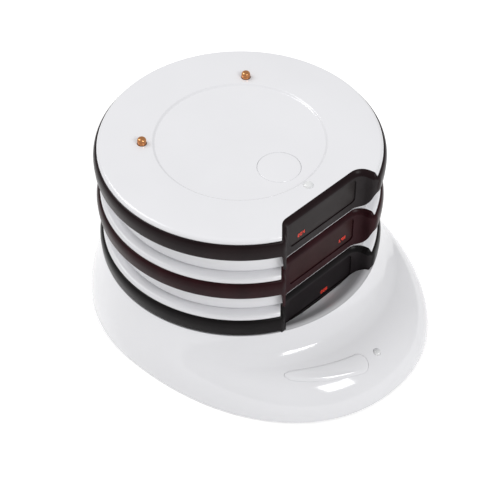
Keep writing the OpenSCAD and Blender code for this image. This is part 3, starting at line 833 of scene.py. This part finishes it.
    def pane(self) -> Object:
        """Builds the tinted pane, which lies a little under the bezel's face, with eased edges."""
        face = -self.bay.panel_y + self.pane_deep - self.pane_t
        depths = ((self.pane_t, self.fit), (0.08, self.fit), (0, 0.16))
        return smooth(loft("pane", [self.pane_ring(face + deep, inset) for deep, inset in depths]), 25)

    def module(self) -> Object:
        """Builds the display module, which stands on the circuit board behind the bezel."""
        face = -self.bay.panel_y + self.bezel_t + self.fit
        half, low, back = self.module_w / 2, self.board_top, face + self.module_t
        made = block((-half, face, low), (half, back, self.ring_top - 1.2))
        foot = block((-8, back - 0.1, low), (8, back + 1.8, low + 1.8))
        return combine(made, foot, Cut.ADD)

    def cover(self) -> Object:
        """Builds the white top cover, with its dish, its rim and its screw posts."""
        edge = [
            (self.cover_r - self.cover_round * (1 - cs), self.ring_top + self.cover_round * sn) for cs, sn in arc(12)
        ]
        dish = [
            (self.dish_r - self.dish_edge * share, self.height - self.dish_depth * ease(share))
            for share in (i / 10 for i in range(11))
        ]
        low, above, ledge = self.height - self.plate_t, self.height + self.beyond, self.ledge_z
        made = lathe(
            "cover",
            [(0, low), (self.spigot_in, low), (self.spigot_in, ledge - 1), (self.spigot_r, ledge - 1),
             (self.spigot_r, ledge), (self.cover_r, ledge), *edge, *dish, (0, self.height - self.dish_depth)],
            sides=self.ROUND,
        )
        behind = self.bezel_t + self.fit
        levels = [(ledge - 3, behind), (self.ring_top - self.lip, behind), (self.ring_top, self.strip_w),
                  (self.height + 2, self.strip_w)]
        combine(made, self.bay.opening(levels), Cut.OUT)
        posts = (Cut.ADD, self.post_r, self.board_top, low + 0.01, 32)
        drums(made, self.screws, posts, (Cut.OUT, self.tap_r, self.board_top - 1, low - 0.9, 24))
        below = low - self.beyond
        drums(made, [(0, self.button_y)], (Cut.OUT, self.button_r + self.seam, below, above, 96))
        drums(made, [(0, self.dome_y)], (Cut.OUT, self.dome_r - 0.15, below, above, 48))
        drums(made, self.pins, (Cut.OUT, self.pin_r + self.pin_gap, below, above, 48))
        return smooth(made)

    def shell(self, ring: Object) -> Object:
        """Builds the white lower shell, cut to the smoked ring that closes its front.

        Args:
            ring: the light ring, which is left as it is.

        Returns:
            The shell.
        """
        foot, top, low, relief = self.shell_foot_r, self.shell_top_r, self.ring_low, self.relief_depth
        rib, groove, seam = self.rib_r, self.rib_r - self.rib_w, self.ring_low - self.fit
        side = [(foot - self.seat_round * (1 - sn), self.seat_round * (1 - cs)) for cs, sn in arc(10)]
        made = lathe(
            "shell",
            [(0, relief), (groove, relief), (groove, -self.rib_drop), (rib, -self.rib_drop), (rib, relief),
             (self.relief_r, relief), (self.relief_r, 0), *side, (top, seam), (self.spigot_r, seam),
             (self.spigot_r, low + 1), (0, low + 1)],
            sides=self.ROUND,
        )
        slope = self.step / self.panel_low
        levels = [(-1, self.step + slope * 0.8), (self.panel_low, self.fit), (low + 2, self.fit)]
        combine(made, self.bay.core(levels), Cut.KEEP)
        above = low + 3
        inside = lathe(
            "inside",
            [(0, self.floor_z), (foot - self.wall - 0.5, self.floor_z), (foot - self.wall, self.floor_z + 0.5),
             (top - self.wall, low - 1), (self.spigot_in, low - 1), (self.spigot_in, above), (0, above)],
            sides=self.ROUND // 2,
        )
        behind, front, half = self.bezel_t + self.wall, -self.bay.panel_y, self.hatch_w / 2
        combine(inside, self.bay.opening([(0, behind), (above + 1, behind)]), Cut.OUT)
        combine(inside, block((-half, front - 1, self.floor_z), (half, front + 5, above)), Cut.ADD)
        combine(made, inside, Cut.OUT)
        combine(made, twin(ring), Cut.OUT)
        under = -self.beyond
        head = (Cut.OUT, self.screw_head_r, under, self.screw_head_z, 32)
        hole = (Cut.OUT, self.screw_hole_r, under, above, 24)
        drums(made, self.screws, (Cut.ADD, self.post_r, 0.9, self.board_z, 32), head, hole)
        pad, wire = (Cut.OUT, self.pad_r, under, self.pad_z, 48), (Cut.OUT, self.tap_r, under, low, 24)
        drums(made, self.pins, (Cut.ADD, self.pad_boss_r, relief + 0.5, self.pad_boss_z, 48), pad, wire)
        return smooth(made)

    def button(self) -> Object:
        """Builds the call button, a shallow dome whose edge sinks into the cover."""
        r, edge, swell = self.button_r, 0.35, 0.1
        crown = self.height - self.dish_depth + self.button_proud
        low = self.height - self.plate_t - 0.1
        stem, stem_r, flange, flange_r = low - 1.1, 2, low - 0.7, r + 0.9
        dome = [(r - edge * (1 - cs), crown - swell - edge * (1 - sn)) for cs, sn in arc(6)]
        rise = [((r - edge) * (1 - share), crown - swell * (1 - ease(share))) for share in (0.2, 0.4, 0.6, 0.8)]
        outline = [(0, stem), (stem_r, stem), (stem_r, flange), (flange_r, flange), (flange_r, low), (r, low),
                   *dome, *rise, (0, crown)]
        return smooth(lathe("button", outline, (0, self.button_y), 128), 40)

    def dome(self) -> Object:
        """Builds the clear light guide with its domed head."""
        neck = self.dome_r - 0.2
        head = [(self.dome_r * cs, self.height + self.dome_proud * sn) for cs, sn in arc(10)]
        low = self.board_top + 1.2
        return smooth(lathe("dome", [(0, low), (neck, low), (neck, self.height), *head], (0, self.dome_y), 48), 40)


def contact_pin(radius: float, proud: float, tail: float, centre: Point2) -> Object:
    """Builds a sprung contact: a turned barrel with a collar line and a domed nose.

    Args:
        radius: radius of the barrel.
        proud: height above the face that it stands out of.
        tail: depth of its lower end below that face.
        centre: place of its axis.

    Returns:
        The pin, with that face at z = 0.
    """
    flat, nose_low, neck = 0.35, proud - radius * 0.62, radius - 0.13
    nose = [(radius * (flat + (1 - flat) * cs), nose_low + (proud - nose_low) * sn) for cs, sn in arc(9)]
    waist = nose_low - 0.35
    outline = [(0, -tail), (radius, -tail), (radius, waist), (neck, waist + 0.1), (neck, waist + 0.22),
               (radius, waist + 0.32), *nose, (0, proud + 0.04)]
    return smooth(lathe("contact", outline, centre, 48), 35)


# ---- display digits ----


@dataclass
class DotMatrix:
    """Small red numerals of light dots, made by a tree that sets a dot at each lit place."""

    pitch: float = 0.3
    dot: float = 0.2295
    thick: float = 0.05
    gap_columns: int = 1
    rows: int = 5
    shapes: dict[str, str] = field(
        default_factory=lambda: {
            "0": "111101101101111", "1": "010110010010111", "2": "111001111100111", "4": "101101111001001",
            "6": "111100111101111", "8": "111101111101111",
        }
    )

    def places(self, numerals: str) -> list[Point2]:
        """Gives the centre of each lit dot, about the middle of the numerals."""
        width = len(numerals) * 3 + (len(numerals) - 1) * self.gap_columns
        found = []
        for n, numeral in enumerate(numerals):
            for i, lit in enumerate(self.shapes[numeral]):
                if lit == "1":
                    column, row = n * (3 + self.gap_columns) + i % 3, i // 3
                    found.append(((column - (width - 1) / 2) * self.pitch, ((self.rows - 1) / 2 - row) * self.pitch))
        return found

    def build(self, numerals: str, middle: Point2, front: float, material: Material) -> Object:
        """Builds the dots of some numerals.

        Args:
            numerals: the digits.
            middle: x and z of their middle.
            front: y of the dots.
            material: their material.

        Returns:
            The dots as a plain mesh.
        """

        def dot(tree: Tree, given: bpy.types.NodeOutputs) -> Socket:
            """Makes one flat dot."""
            sizes = {"Vertices": 10, "Radius": given["Dot radius"], "Depth": given["Dot thickness"]}
            return add_node(tree, "GeometryNodeMeshCylinder", sizes).outputs["Mesh"]

        spots = [(middle[0] + x, front, middle[1] + z) for x, z in self.places(numerals)]
        sizes = {"Dot radius": self.dot / 2, "Dot thickness": self.thick}
        return scatter("lit_dots", spots, sizes, dot, material, (math.pi / 2, 0.0, 0.0))


def scatter(
    name: str, spots: Sequence[Point3], sizes: dict[str, float], shape: Callable[[Tree, object], Socket],
    material: Material, turn: Point3 = (0.0, 0.0, 0.0),
) -> Object:
    """Sets a shape on each spot by a tree of nodes, and keeps the result as a plain mesh.

    Args:
        name: name of the tree.
        spots: places of the shapes.
        sizes: the tree's number inputs and their values.
        shape: adds the shape's nodes to the tree, given its inputs, and gives their mesh.
        material: the shapes' material.
        turn: rotation of each shape in radians.

    Returns:
        The shapes.
    """
    tree = bpy.data.node_groups.new(name, "GeometryNodeTree")
    tree.interface.new_socket("Geometry", in_out="INPUT", socket_type="NodeSocketGeometry")
    keys = {size: tree.interface.new_socket(size, in_out="INPUT", socket_type="NodeSocketFloat") for size in sizes}
    tree.interface.new_socket("Geometry", in_out="OUTPUT", socket_type="NodeSocketGeometry")
    given = add_node(tree, "NodeGroupInput").outputs
    points = add_node(tree, "GeometryNodeMeshToPoints", {"Mesh": given["Geometry"]}).outputs["Points"]
    spread = add_node(
        tree, "GeometryNodeInstanceOnPoints", {"Points": points, "Instance": shape(tree, given), "Rotation": turn}
    ).outputs["Instances"]
    real = add_node(tree, "GeometryNodeRealizeInstances", {"Geometry": spread}).outputs["Geometry"]
    painted = add_node(tree, "GeometryNodeSetMaterial", {"Geometry": real, "Material": material}).outputs[0]
    add_node(tree, "NodeGroupOutput", {"Geometry": painted})
    mesh = bpy.data.meshes.new(name)
    mesh.from_pydata(spots, [], [])
    made = link(name, mesh)
    step = made.modifiers.new(name, "NODES")
    step.node_group = tree
    for size, key in keys.items():
        step[key.identifier] = sizes[size]
    return bake(made)


class PagerStack:
    """The three pagers: their pieces are drawn once and repeated up the stack."""

    DIGITS = {1: ("026", (2.5, 6.7)), 2: ("148", (10.6, 8.1)), 3: ("204", (-10.2, 7.6))}
    INNER = {
        "pin_barrels": (NICKEL, "nickel"), "circuit_board": (SOLDER_MASK, "circuit_green"),
        "battery": (POUCH_FOIL, "battery_foil"), "motor": (NICKEL, "nickel"),
        "motor_weight": (TUNGSTEN, "tungsten"), "charge_pads": (GOLD_PLATE, "contact_gold"),
        "screws": (ZINC_STEEL, "screw_steel"),
    }

    def __init__(self, dresser: Dresser) -> None:
        """Reads the stack's place and the pager's size from the frame."""
        self.dresser = dresser
        low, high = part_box("pager_1_light_ring")
        radius = (high.x - low.x) / 2 / MM
        tops = [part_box(f"pager_{k}_top_cover")[1].z for k in (1, 2)]
        self.pager = Pager(ring_r=radius, height=(tops[1] - tops[0]) / MM)
        self.axis = Vector(((low.x + high.x) / 2, high.y - radius * MM, 0))
        self.seats = {k: tops[0] + (tops[1] - tops[0]) * (k - 1) - self.pager.height * MM for k in (1, 2, 3)}

    def build(self) -> None:
        """Builds the pieces once and sets a copy of each in every pager."""
        pager = self.pager
        ring = pager.ring()
        drawn = {
            "cover": pager.cover(), "shell": pager.shell(ring), "ring": smooth(ring, 35), "pane": pager.pane(),
            "module": smooth(pager.module()), "button": pager.button(), "dome": pager.dome(),
        }
        for side, spot in zip(Side, pager.pins, strict=True):
            pin = contact_pin(pager.pin_r, pager.pin_proud, pager.pin_tail, spot)
            pin.data.transform(Matrix.Translation((0, 0, pager.height)))
            drawn[f"pin_{side.label}"] = pin
        for k in self.seats:
            self.assemble(k, drawn)
        for piece in drawn.values():
            bpy.data.objects.remove(piece)

    def assemble(self, k: int, drawn: dict[str, Object]) -> None:
        """Sets the pieces of one pager.

        Args:
            k: number of the pager, from the lowest.
            drawn: the pieces to copy.
        """
        body = f"pager_{k}"
        shift = self.axis + Vector((0, 0, self.seats[k]))
        plan = [
            ("cover", "top_cover", body, GLOSS_ABS, "white_gloss"),
            ("shell", "bottom_shell", body, GLOSS_ABS, "white_gloss"),
            ("ring", "light_ring", body, SMOKED_RINGS[k], "ring_smoke"),
            ("pane", "display_lens", body, TINTED_PANES[k], "window_smoke"),
            ("module", "display_module", body, BLACK_NYLON, "black_plastic"),
            ("button", "call_button", f"{body}_button", GLOSS_ABS, "white_button"),
            ("dome", "status_lens", body, CLEAR_ACRYLIC, "clear_lens"),
        ]
        plan += [
            (f"pin_{side.label}", f"contact_pin_{side.label}", f"{body}_pin_{side.label}", GOLD_PLATE, "contact_gold")
            for side in Side
        ]
        for key, node, rides, finish, slot in plan:
            piece = twin(drawn[key])
            satin = [key == "ring" and self.pager.is_satin(f.center, f.normal) for f in piece.data.polygons]
            self.dresser.put(piece, f"{body}_{key}", rides, finish, shift, slot=slot, replaces=[f"{body}_{node}"])
            if any(satin):
                piece.data.materials.append(self.dresser.rack.get(SATIN_FACES[k]))
                piece.data.polygons.foreach_set("material_index", satin)
        numerals, middle = self.DIGITS[k]
        front = -self.pager.bay.panel_y + self.pager.pane_deep - self.pager.pane_t - 0.03
        dots = DotMatrix().build(numerals, middle, front, self.dresser.rack.get(RED_DOTS))
        self.dresser.put(dots, f"{body}_numerals", body, RED_DOTS, shift)
        for part, (finish, slot) in self.INNER.items():
            self.dresser.dress(f"{body}_{part}", finish, slot)


# ---- base ----


@dataclass
class Housing:
    """Outer surface of the base, from the cup's rim down a hollow flare to a domed shoulder."""

    width: float
    back: float
    front: float
    square: float = 2.15
    collar_r: float = 49.6
    rim_h: float = 25.0
    shoulder_h: float = 17.0
    shoulder_side: float = 1.8
    shoulder_front: float = 2.3
    flare: float = 8.0
    low: float = 0.8
    flare_share: float = 0.18
    flare_rings: int = 14
    dome_rings: int = 36
    dome_from: float = 15.0

    def footprint(self, turn: float, inset: float) -> Point2:
        """Gives the housing's outline on the table at an angle in degrees."""
        c, s = math.cos(math.radians(turn)), math.sin(math.radians(turn))
        power, a = 2 / self.square, self.width / 2 - inset
        if s >= 0:
            return a * c, (self.back - inset) * s
        return a * math.copysign(abs(c) ** power, c), -(self.front - inset) * abs(s) ** power

    def height(self, turn: float, share: float, span: float, inset: float) -> float:
        """Gives the height of the surface at an angle, at a share of the way out."""
        s = math.sin(math.radians(turn))
        p = self.shoulder_side + (self.shoulder_front - self.shoulder_side) * max(-s, 0) ** 2
        hollow = max(1 - share * span / min(self.flare, 0.9 * span), 0)
        dome = max(1 - share**p, 0) ** (1 / p)
        return self.low + (self.shoulder_h - inset - self.low) * dome + (self.rim_h - self.shoulder_h) * hollow**2

    def build(self, inset: float, corners: int, cap: float = 1e3, drop: float = 0.0) -> Object:
        """Makes the housing as a closed solid.

        Args:
            inset: how far it is drawn in.
            corners: number of corners round it.
            cap: height above which it is cut flat.
            drop: how far it is set down.

        Returns:
            The solid.
        """
        flare, dome, start = self.flare_rings, self.dome_rings, self.dome_from
        shares = [self.flare_share * i / flare for i in range(flare + 1)]
        turns = [math.radians(start + (90 - start) * i / dome) for i in range(1, dome + 1)]
        shares += [math.sin(turn) ** (2 / self.shoulder_front) for turn in turns]
        rings = []
        for share in shares:
            ring = []
            for i in range(corners):
                turn = 360 * i / corners
                a = math.radians(turn)
                inner = Vector((math.cos(a), math.sin(a))) * (self.collar_r - inset)
                outer = Vector(self.footprint(turn, inset))
                spot = inner.lerp(outer, share)
                z = min(self.height(turn, share, (outer - inner).length, inset), cap) - drop
                ring.append((spot.x, spot.y, z))
            rings.append(ring)
        return loft("housing", rings)


@dataclass
class LeafKey:
    """The leaf-shaped key in the base's front slope."""

    tip: Point2 = (-30.1, -52.4)
    end: Point2 = (-8.1, -65.6)
    bow: float = 3.2
    tip_w: float = 1.8
    end_w: float = 6.4
    proud: float = 0.6
    gap: float = 0.05
    steps: int = 40
    cap_steps: int = 14
    levels: tuple[Point2, ...] = ((0, -0.45), (0, -0.1), (-0.12, 0.2), (-0.35, 0.42), (-0.7, 0.55))

    def middle(self, s: float) -> Vector:
        """Gives the leaf's centre line, from its thin end to its round end."""
        tip, end = Vector(self.tip), Vector(self.end)
        along = (end - tip).normalized()
        return tip.lerp(end, s) + Vector((along.y, -along.x)) * self.bow * 2 * s * (1 - s)

    def heading(self, s: float) -> Vector:
        """Gives the direction of the centre line."""
        return (self.middle(s + 0.01) - self.middle(s - 0.01)).normalized()

    def half(self, s: float) -> float:
        """Gives half the leaf's width."""
        return self.tip_w / 2 + (self.end_w - self.tip_w) / 2 * max(s, 0) ** 0.45

    def outline(self, grow: float) -> list[Point2]:
        """Gives the leaf's closed outline, grown outwards."""

        def side(s: float, sign: int) -> Point2:
            """Gives a point of one long side."""
            d = self.heading(s)
            return (self.middle(s) + Vector((d.y, -d.x)) * sign * (self.half(s) + grow)).to_tuple()

        def cap(s: float, turn: float) -> list[Point2]:
            """Gives the round end of the leaf."""
            d, spot, r = self.heading(s), self.middle(s), self.half(s) + grow
            turns = [math.atan2(d.y, d.x) + turn + math.pi * i / self.cap_steps for i in range(1, self.cap_steps)]
            return [(spot.x + r * math.cos(a), spot.y + r * math.sin(a)) for a in turns]

        shares = [i / self.steps for i in range(self.steps + 1)]
        there, back = [side(s, 1) for s in shares], [side(1 - s, -1) for s in shares]
        return there + cap(1, -math.pi / 2) + back + cap(0, math.pi / 2)

    def cutter(self, low: float, high: float) -> Object:
        """Makes the slot that the key moves in."""
        return prism("leaf", self.outline(self.gap), low, high)

    def build(self, surface: Callable[[float, float], float], low: float) -> Object:
        """Makes the key: a raised leaf with rounded shoulders that follows the housing.

        Args:
            surface: height of the housing at a place.
            low: height of the key's underside.

        Returns:
            The key.
        """
        rings = [[(x, y, low) for x, y in self.outline(0)]]
        for grow, lift in (*self.levels, (-0.88, self.proud)):
            rings.append([(x, y, surface(x, y) + lift) for x, y in self.outline(grow)])
        return smooth(loft("key", rings), 40)


class ChargingBase:
    """The charging base with its cup, key, light, contacts and feet."""

    # Heights, radii and places in millimetres, about the axis of the stack.
    ROUND = 288
    CAVITY_TOP = 13.3
    PLATE_TOP = 3.0
    SEAT = 15.5
    DISH = 0.7
    SCREW_RING = 40.5
    SCREW_TURNS = (22, 158, 205, 335)
    BORE_TOP = 10.6
    SLOT_LOW = 3.5
    SLOT_TOP = 30.0
    DOT = (0.0, -66.4)
    DOT_R = 1.3
    DOT_LOW = 7.4
    DOT_PROUD = 0.62
    FEET = ((-32, 33), (32, 33), (-30, -46), (30, -46))
    FOOT_R = 5.0
    SHELL_T = 2.2
    WALL_GAP = 1.3
    WALL_LEAN = 1.5
    CLEAR = 5.0
    EDGE_R = 1.2
    PIN_TAIL = 7.0
    JACK_RUN = 9.0
    RAMP = ((0, 19.5), (38.5, 19.5), (40.5, 19.9), (42.5, 20.9), (44.5, 22.4), (46, 23.6), (47.2, 24.5), (48.4, 24.9))
    RAMP_GAP = 0.35

    def __init__(self, dresser: Dresser, stack: PagerStack) -> None:
        """Reads the base's size from the frame."""
        self.dresser = dresser
        self.pager = stack.pager
        low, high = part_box("base_cover")
        self.shift = stack.axis
        self.housing = Housing(
            (high.x - low.x) / MM, (high.y - self.shift.y) / MM, (self.shift.y - low.y) / MM,
            rim_h=high.z / MM, low=low.z / MM,
        )
        self.key = LeafKey()

    def cup(self) -> Object:
        """Makes the space that the lowest pager stands in."""
        wall = self.housing.collar_r - self.WALL_GAP
        floor = wall - self.WALL_LEAN
        dish = [
            (self.pager.dish_r - self.pager.dish_edge * (1 - share), self.SEAT - self.DISH * ease(1 - share))
            for share in (i / 8 for i in range(9))
        ]
        corner = [(floor + sn - 1, self.SEAT + 1 - cs) for cs, sn in arc(8)]
        rim = self.housing.rim_h
        edge = [(wall + self.EDGE_R * (1 - cs), rim + self.EDGE_R * (sn - 1)) for cs, sn in arc(6)]
        made = lathe(
            "cup",
            [(0, self.SEAT - self.DISH), *dish, *corner, *edge, (edge[-1][0], rim + self.CLEAR), (0, rim + self.CLEAR)],
            sides=self.ROUND,
        )
        low, out, top = self.CLEAR, self.housing.collar_r + 10, rim - 0.05
        profile = [(0, low), (out, low), (out, top), (wall + 0.6, top), *reversed(self.RAMP)]
        ramp = lathe("ramp", profile, sides=self.ROUND)
        bay = self.pager.bay.opening([(4, -self.RAMP_GAP), (rim + 1, -self.RAMP_GAP)])
        return combine(made, combine(ramp, bay, Cut.KEEP), Cut.OUT)

    def cover(self) -> Object:
        """Builds the base's housing with its cup, slots and screw posts."""
        made = self.housing.build(0, self.ROUND)
        cavity = self.housing.build(self.SHELL_T, self.ROUND // 3, cap=self.CAVITY_TOP, drop=0.01)
        combine(made, cavity, Cut.OUT)
        steps = self.ROUND // 2
        outline = [self.housing.footprint(360 * i / steps, self.SHELL_T) for i in range(steps)]
        combine(made, prism("tray", outline, -1, self.PLATE_TOP + 0.05), Cut.OUT)
        combine(made, self.cup(), Cut.OUT)
        pager, spots = self.pager, [polar(self.SCREW_RING, turn) for turn in self.SCREW_TURNS]
        posts = (Cut.ADD, pager.post_r, self.PLATE_TOP, self.CAVITY_TOP + 0.05, 32)
        drums(made, spots, posts, (Cut.OUT, pager.tap_r, self.PLATE_TOP - 1, self.BORE_TOP, 24))
        drums(made, pager.pins, (Cut.OUT, pager.pin_r + 0.2, self.CLEAR, self.SLOT_TOP, 48))
        combine(made, self.key.cutter(self.SLOT_LOW, self.SLOT_TOP), Cut.OUT)
        drums(made, [self.DOT], (Cut.OUT, self.DOT_R + 0.05, self.SLOT_LOW, self.SLOT_TOP, 48))
        jack = [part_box("dc_jack")[i] / MM - self.shift / MM for i in (0, 1)]
        fit = pager.fit
        opening = block(jack[0] - Vector((fit, fit, fit)), jack[1] + Vector((fit, self.JACK_RUN, fit)))
        combine(made, opening, Cut.OUT)
        return smooth(made)

    def surface(self) -> Callable[[float, float], float]:
        """Gives a function for the housing's height at a place."""
        plain = self.housing.build(0, self.ROUND)
        mesh = plain.data
        tree = BVHTree.FromPolygons([v.co for v in mesh.vertices], [tuple(p.vertices) for p in mesh.polygons])
        bpy.data.objects.remove(plain)

        def height(x: float, y: float) -> float:
            """Drops a ray on the housing."""
            return tree.ray_cast(Vector((x, y, 100.0)), Vector((0, 0, -1)))[0].z

        return height

    def feet(self) -> Object:
        """Builds the four rubber feet with a tree that sets a pressed foot at each corner."""

        def foot(tree: Tree, given: bpy.types.NodeOutputs) -> Socket:
            """Makes one foot, a disc that narrows a little towards the table."""
            radius, height = given["Foot radius"], given["Foot height"]
            lower = add_node(tree, "ShaderNodeMath", {0: radius, 1: 0.94}, operation="MULTIPLY").outputs[0]
            sizes = {"Vertices": 64, "Radius Top": radius, "Radius Bottom": lower, "Depth": height}
            return add_node(tree, "GeometryNodeMeshCone", sizes).outputs["Mesh"]

        low, high = (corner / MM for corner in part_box("base_feet"))
        spots = [(x, y, low.z) for x, y in self.FEET]
        sizes = {"Foot radius": self.FOOT_R, "Foot height": high.z - low.z}
        return smooth(scatter("pressed_feet", spots, sizes, foot, self.dresser.rack.get(SILICONE)), 30)

    def build(self) -> None:
        """Builds and dresses every piece of the base."""
        put = self.dresser.put
        put(self.cover(), "base_housing", "base", BASE_ABS, self.shift, slot="base_gloss", replaces=["base_cover"])
        surface = self.surface()
        put(self.key.build(surface, self.CAVITY_TOP - 3), "base_leaf_key", "base_key_body", BASE_ABS, self.shift,
            slot="base_gloss", replaces=["base_key"])
        level = surface(*self.DOT)
        head = [(self.DOT_R * cs, level + self.DOT_PROUD * sn) for cs, sn in arc(10)]
        dome = lathe("dome", [(0, self.DOT_LOW), (self.DOT_R, self.DOT_LOW), *head], self.DOT, 48)
        put(smooth(dome, 40), "base_dome", "base", CLEAR_ACRYLIC, self.shift, slot="clear_lens",
            replaces=["base_status_lens"])
        for side, spot in zip(Side, self.pager.pins, strict=True):
            pin = contact_pin(self.pager.pin_r, self.pager.pin_proud, self.PIN_TAIL, spot)
            put(pin, f"base_pin_{side.label}", f"base_pin_{side.label}", GOLD_PLATE,
                self.shift + Vector((0, 0, self.SEAT * MM)), slot="contact_gold",
                replaces=[f"base_contact_pin_{side.label}"])
        put(self.feet(), "base_rubber_feet", "base", SILICONE, self.shift, slot="foot_rubber", replaces=["base_feet"])
        for node, finish, slot in (
            ("base_plate", MATT_ABS, "base_matt"), ("base_board", SOLDER_MASK, "circuit_green"),
            ("base_pin_barrels", NICKEL, "nickel"), ("dc_jack", BLACK_NYLON, "black_plastic"),
            ("base_screws", ZINC_STEEL, "screw_steel"),
        ):
            self.dresser.dress(node, finish, slot)


# ---- stage ----


def aim(piece: Object, spot: Sequence[float], target: Sequence[float]) -> None:
    """Sets a camera or a lamp at a place, looking at a point."""
    piece.location = spot
    piece.rotation_euler = (Vector(target) - Vector(spot)).to_track_quat("-Z", "Y").to_euler()


@dataclass
class Studio:
    """A white table, soft light and the camera of the photograph."""

    eye: Point3 = (-279.8, -274.6, 424.4)
    target: Point3 = (-33.6, -28.4, 68.0)
    lens: float = 113.2
    sensor: float = 36.0
    surround: float = 0.56
    table_half: float = 4.0
    table_glow: float = 0.35

    def build(self) -> None:
        """Builds the camera, the lamps, the world and the table."""
        self.camera()
        self.world()
        self.table()
        self.lamp("key", (-0.25, 0.55, 0.75), (0.0, -0.02, 0.03), (0.5, 0.5), 3.1)
        self.lamp("front", (-0.05, -0.78, 0.72), (0.0, -0.03, 0.03), (0.36, 0.3), 3.4)
        bpy.context.scene.view_settings.view_transform = "Standard"

    def camera(self) -> None:
        """Sets the camera at the photograph's viewing angle."""
        data = bpy.data.cameras.new("camera")
        data.lens, data.sensor_width = self.lens, self.sensor
        data.clip_start, data.clip_end = 0.01, 50
        bpy.context.scene.camera = link("camera", data)
        aim(bpy.context.scene.camera, Vector(self.eye) * MM, Vector(self.target) * MM)

    def lamp(self, name: str, spot: Point3, target: Point3, size: Point2, power: float) -> None:
        """Adds a rectangular soft light.

        Args:
            name: its name.
            spot: its place in metres.
            target: the point that it looks at.
            size: its width and height.
            power: its power in watts.
        """
        data = bpy.data.lights.new(name, "AREA")
        data.shape = "RECTANGLE"
        data.size, data.size_y = size
        data.energy = power
        aim(link(name, data), spot, target)

    def seen_white(self, tree: Tree) -> Socket:
        """Gives 1 for rays from the camera, from gloss and through glass, and 0 for light on the object."""
        path = add_node(tree, "ShaderNodeLightPath").outputs
        white = path["Is Camera Ray"]
        for ray in ("Is Glossy Ray", "Is Transmission Ray"):
            white = add_node(tree, "ShaderNodeMath", {0: white, 1: path[ray]}, operation="MAXIMUM").outputs[0]
        return white

    def world(self) -> None:
        """Sets an even pale surround, which the camera sees as white."""
        world = bpy.data.worlds.new("surround")
        bpy.context.scene.world = world
        tree = clear_tree(world)
        light, seen = (
            add_node(tree, "ShaderNodeBackground", {"Color": srgb("ffffff"), "Strength": strength}).outputs[0]
            for strength in (self.surround, 1.0)
        )
        path = add_node(tree, "ShaderNodeLightPath").outputs["Is Camera Ray"]
        mixed = add_node(tree, "ShaderNodeMixShader", {0: path, 1: light, 2: seen})
        add_node(tree, "ShaderNodeOutputWorld", {"Surface": mixed.outputs[0]})

    def table(self) -> None:
        """Makes the white table top, which keeps the object's shadow."""
        side = self.table_half
        mesh = bpy.data.meshes.new("table_top")
        mesh.from_pydata([(-side, -side, 0), (side, -side, 0), (side, side, 0), (-side, side, 0)], [], [(0, 1, 2, 3)])
        top = link("table_top", mesh)
        material = bpy.data.materials.new("white_laminate")
        tree = clear_tree(material)
        base = add_node(tree, "ShaderNodeBsdfDiffuse", {"Color": srgb("f4f4f4")}).outputs[0]
        glow = add_node(tree, "ShaderNodeEmission", {"Color": srgb("ffffff"), "Strength": self.table_glow}).outputs[0]
        both = add_node(tree, "ShaderNodeAddShader", {0: base, 1: glow}).outputs[0]
        mixed = add_node(tree, "ShaderNodeMixShader", {0: self.seen_white(tree), 1: base, 2: both})
        add_node(tree, "ShaderNodeOutputMaterial", {"Surface": mixed.outputs[0]})
        mesh.materials.append(material)


def corners(box: tuple[Vector, Vector]) -> list[list[float]]:
    """Turns a box into plain lists of numbers."""
    return [list(box[0]), list(box[1])]


def main() -> None:
    """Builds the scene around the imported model."""
    logging.basicConfig(level=logging.INFO, format="%(message)s")
    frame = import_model()
    dresser = Dresser(frame)
    stack = PagerStack(dresser)
    stack.build()
    ChargingBase(dresser, stack).build()
    Studio().build()
    LOG.info("%d pieces made", dresser.count)


if __name__ == "__main__":
    main()
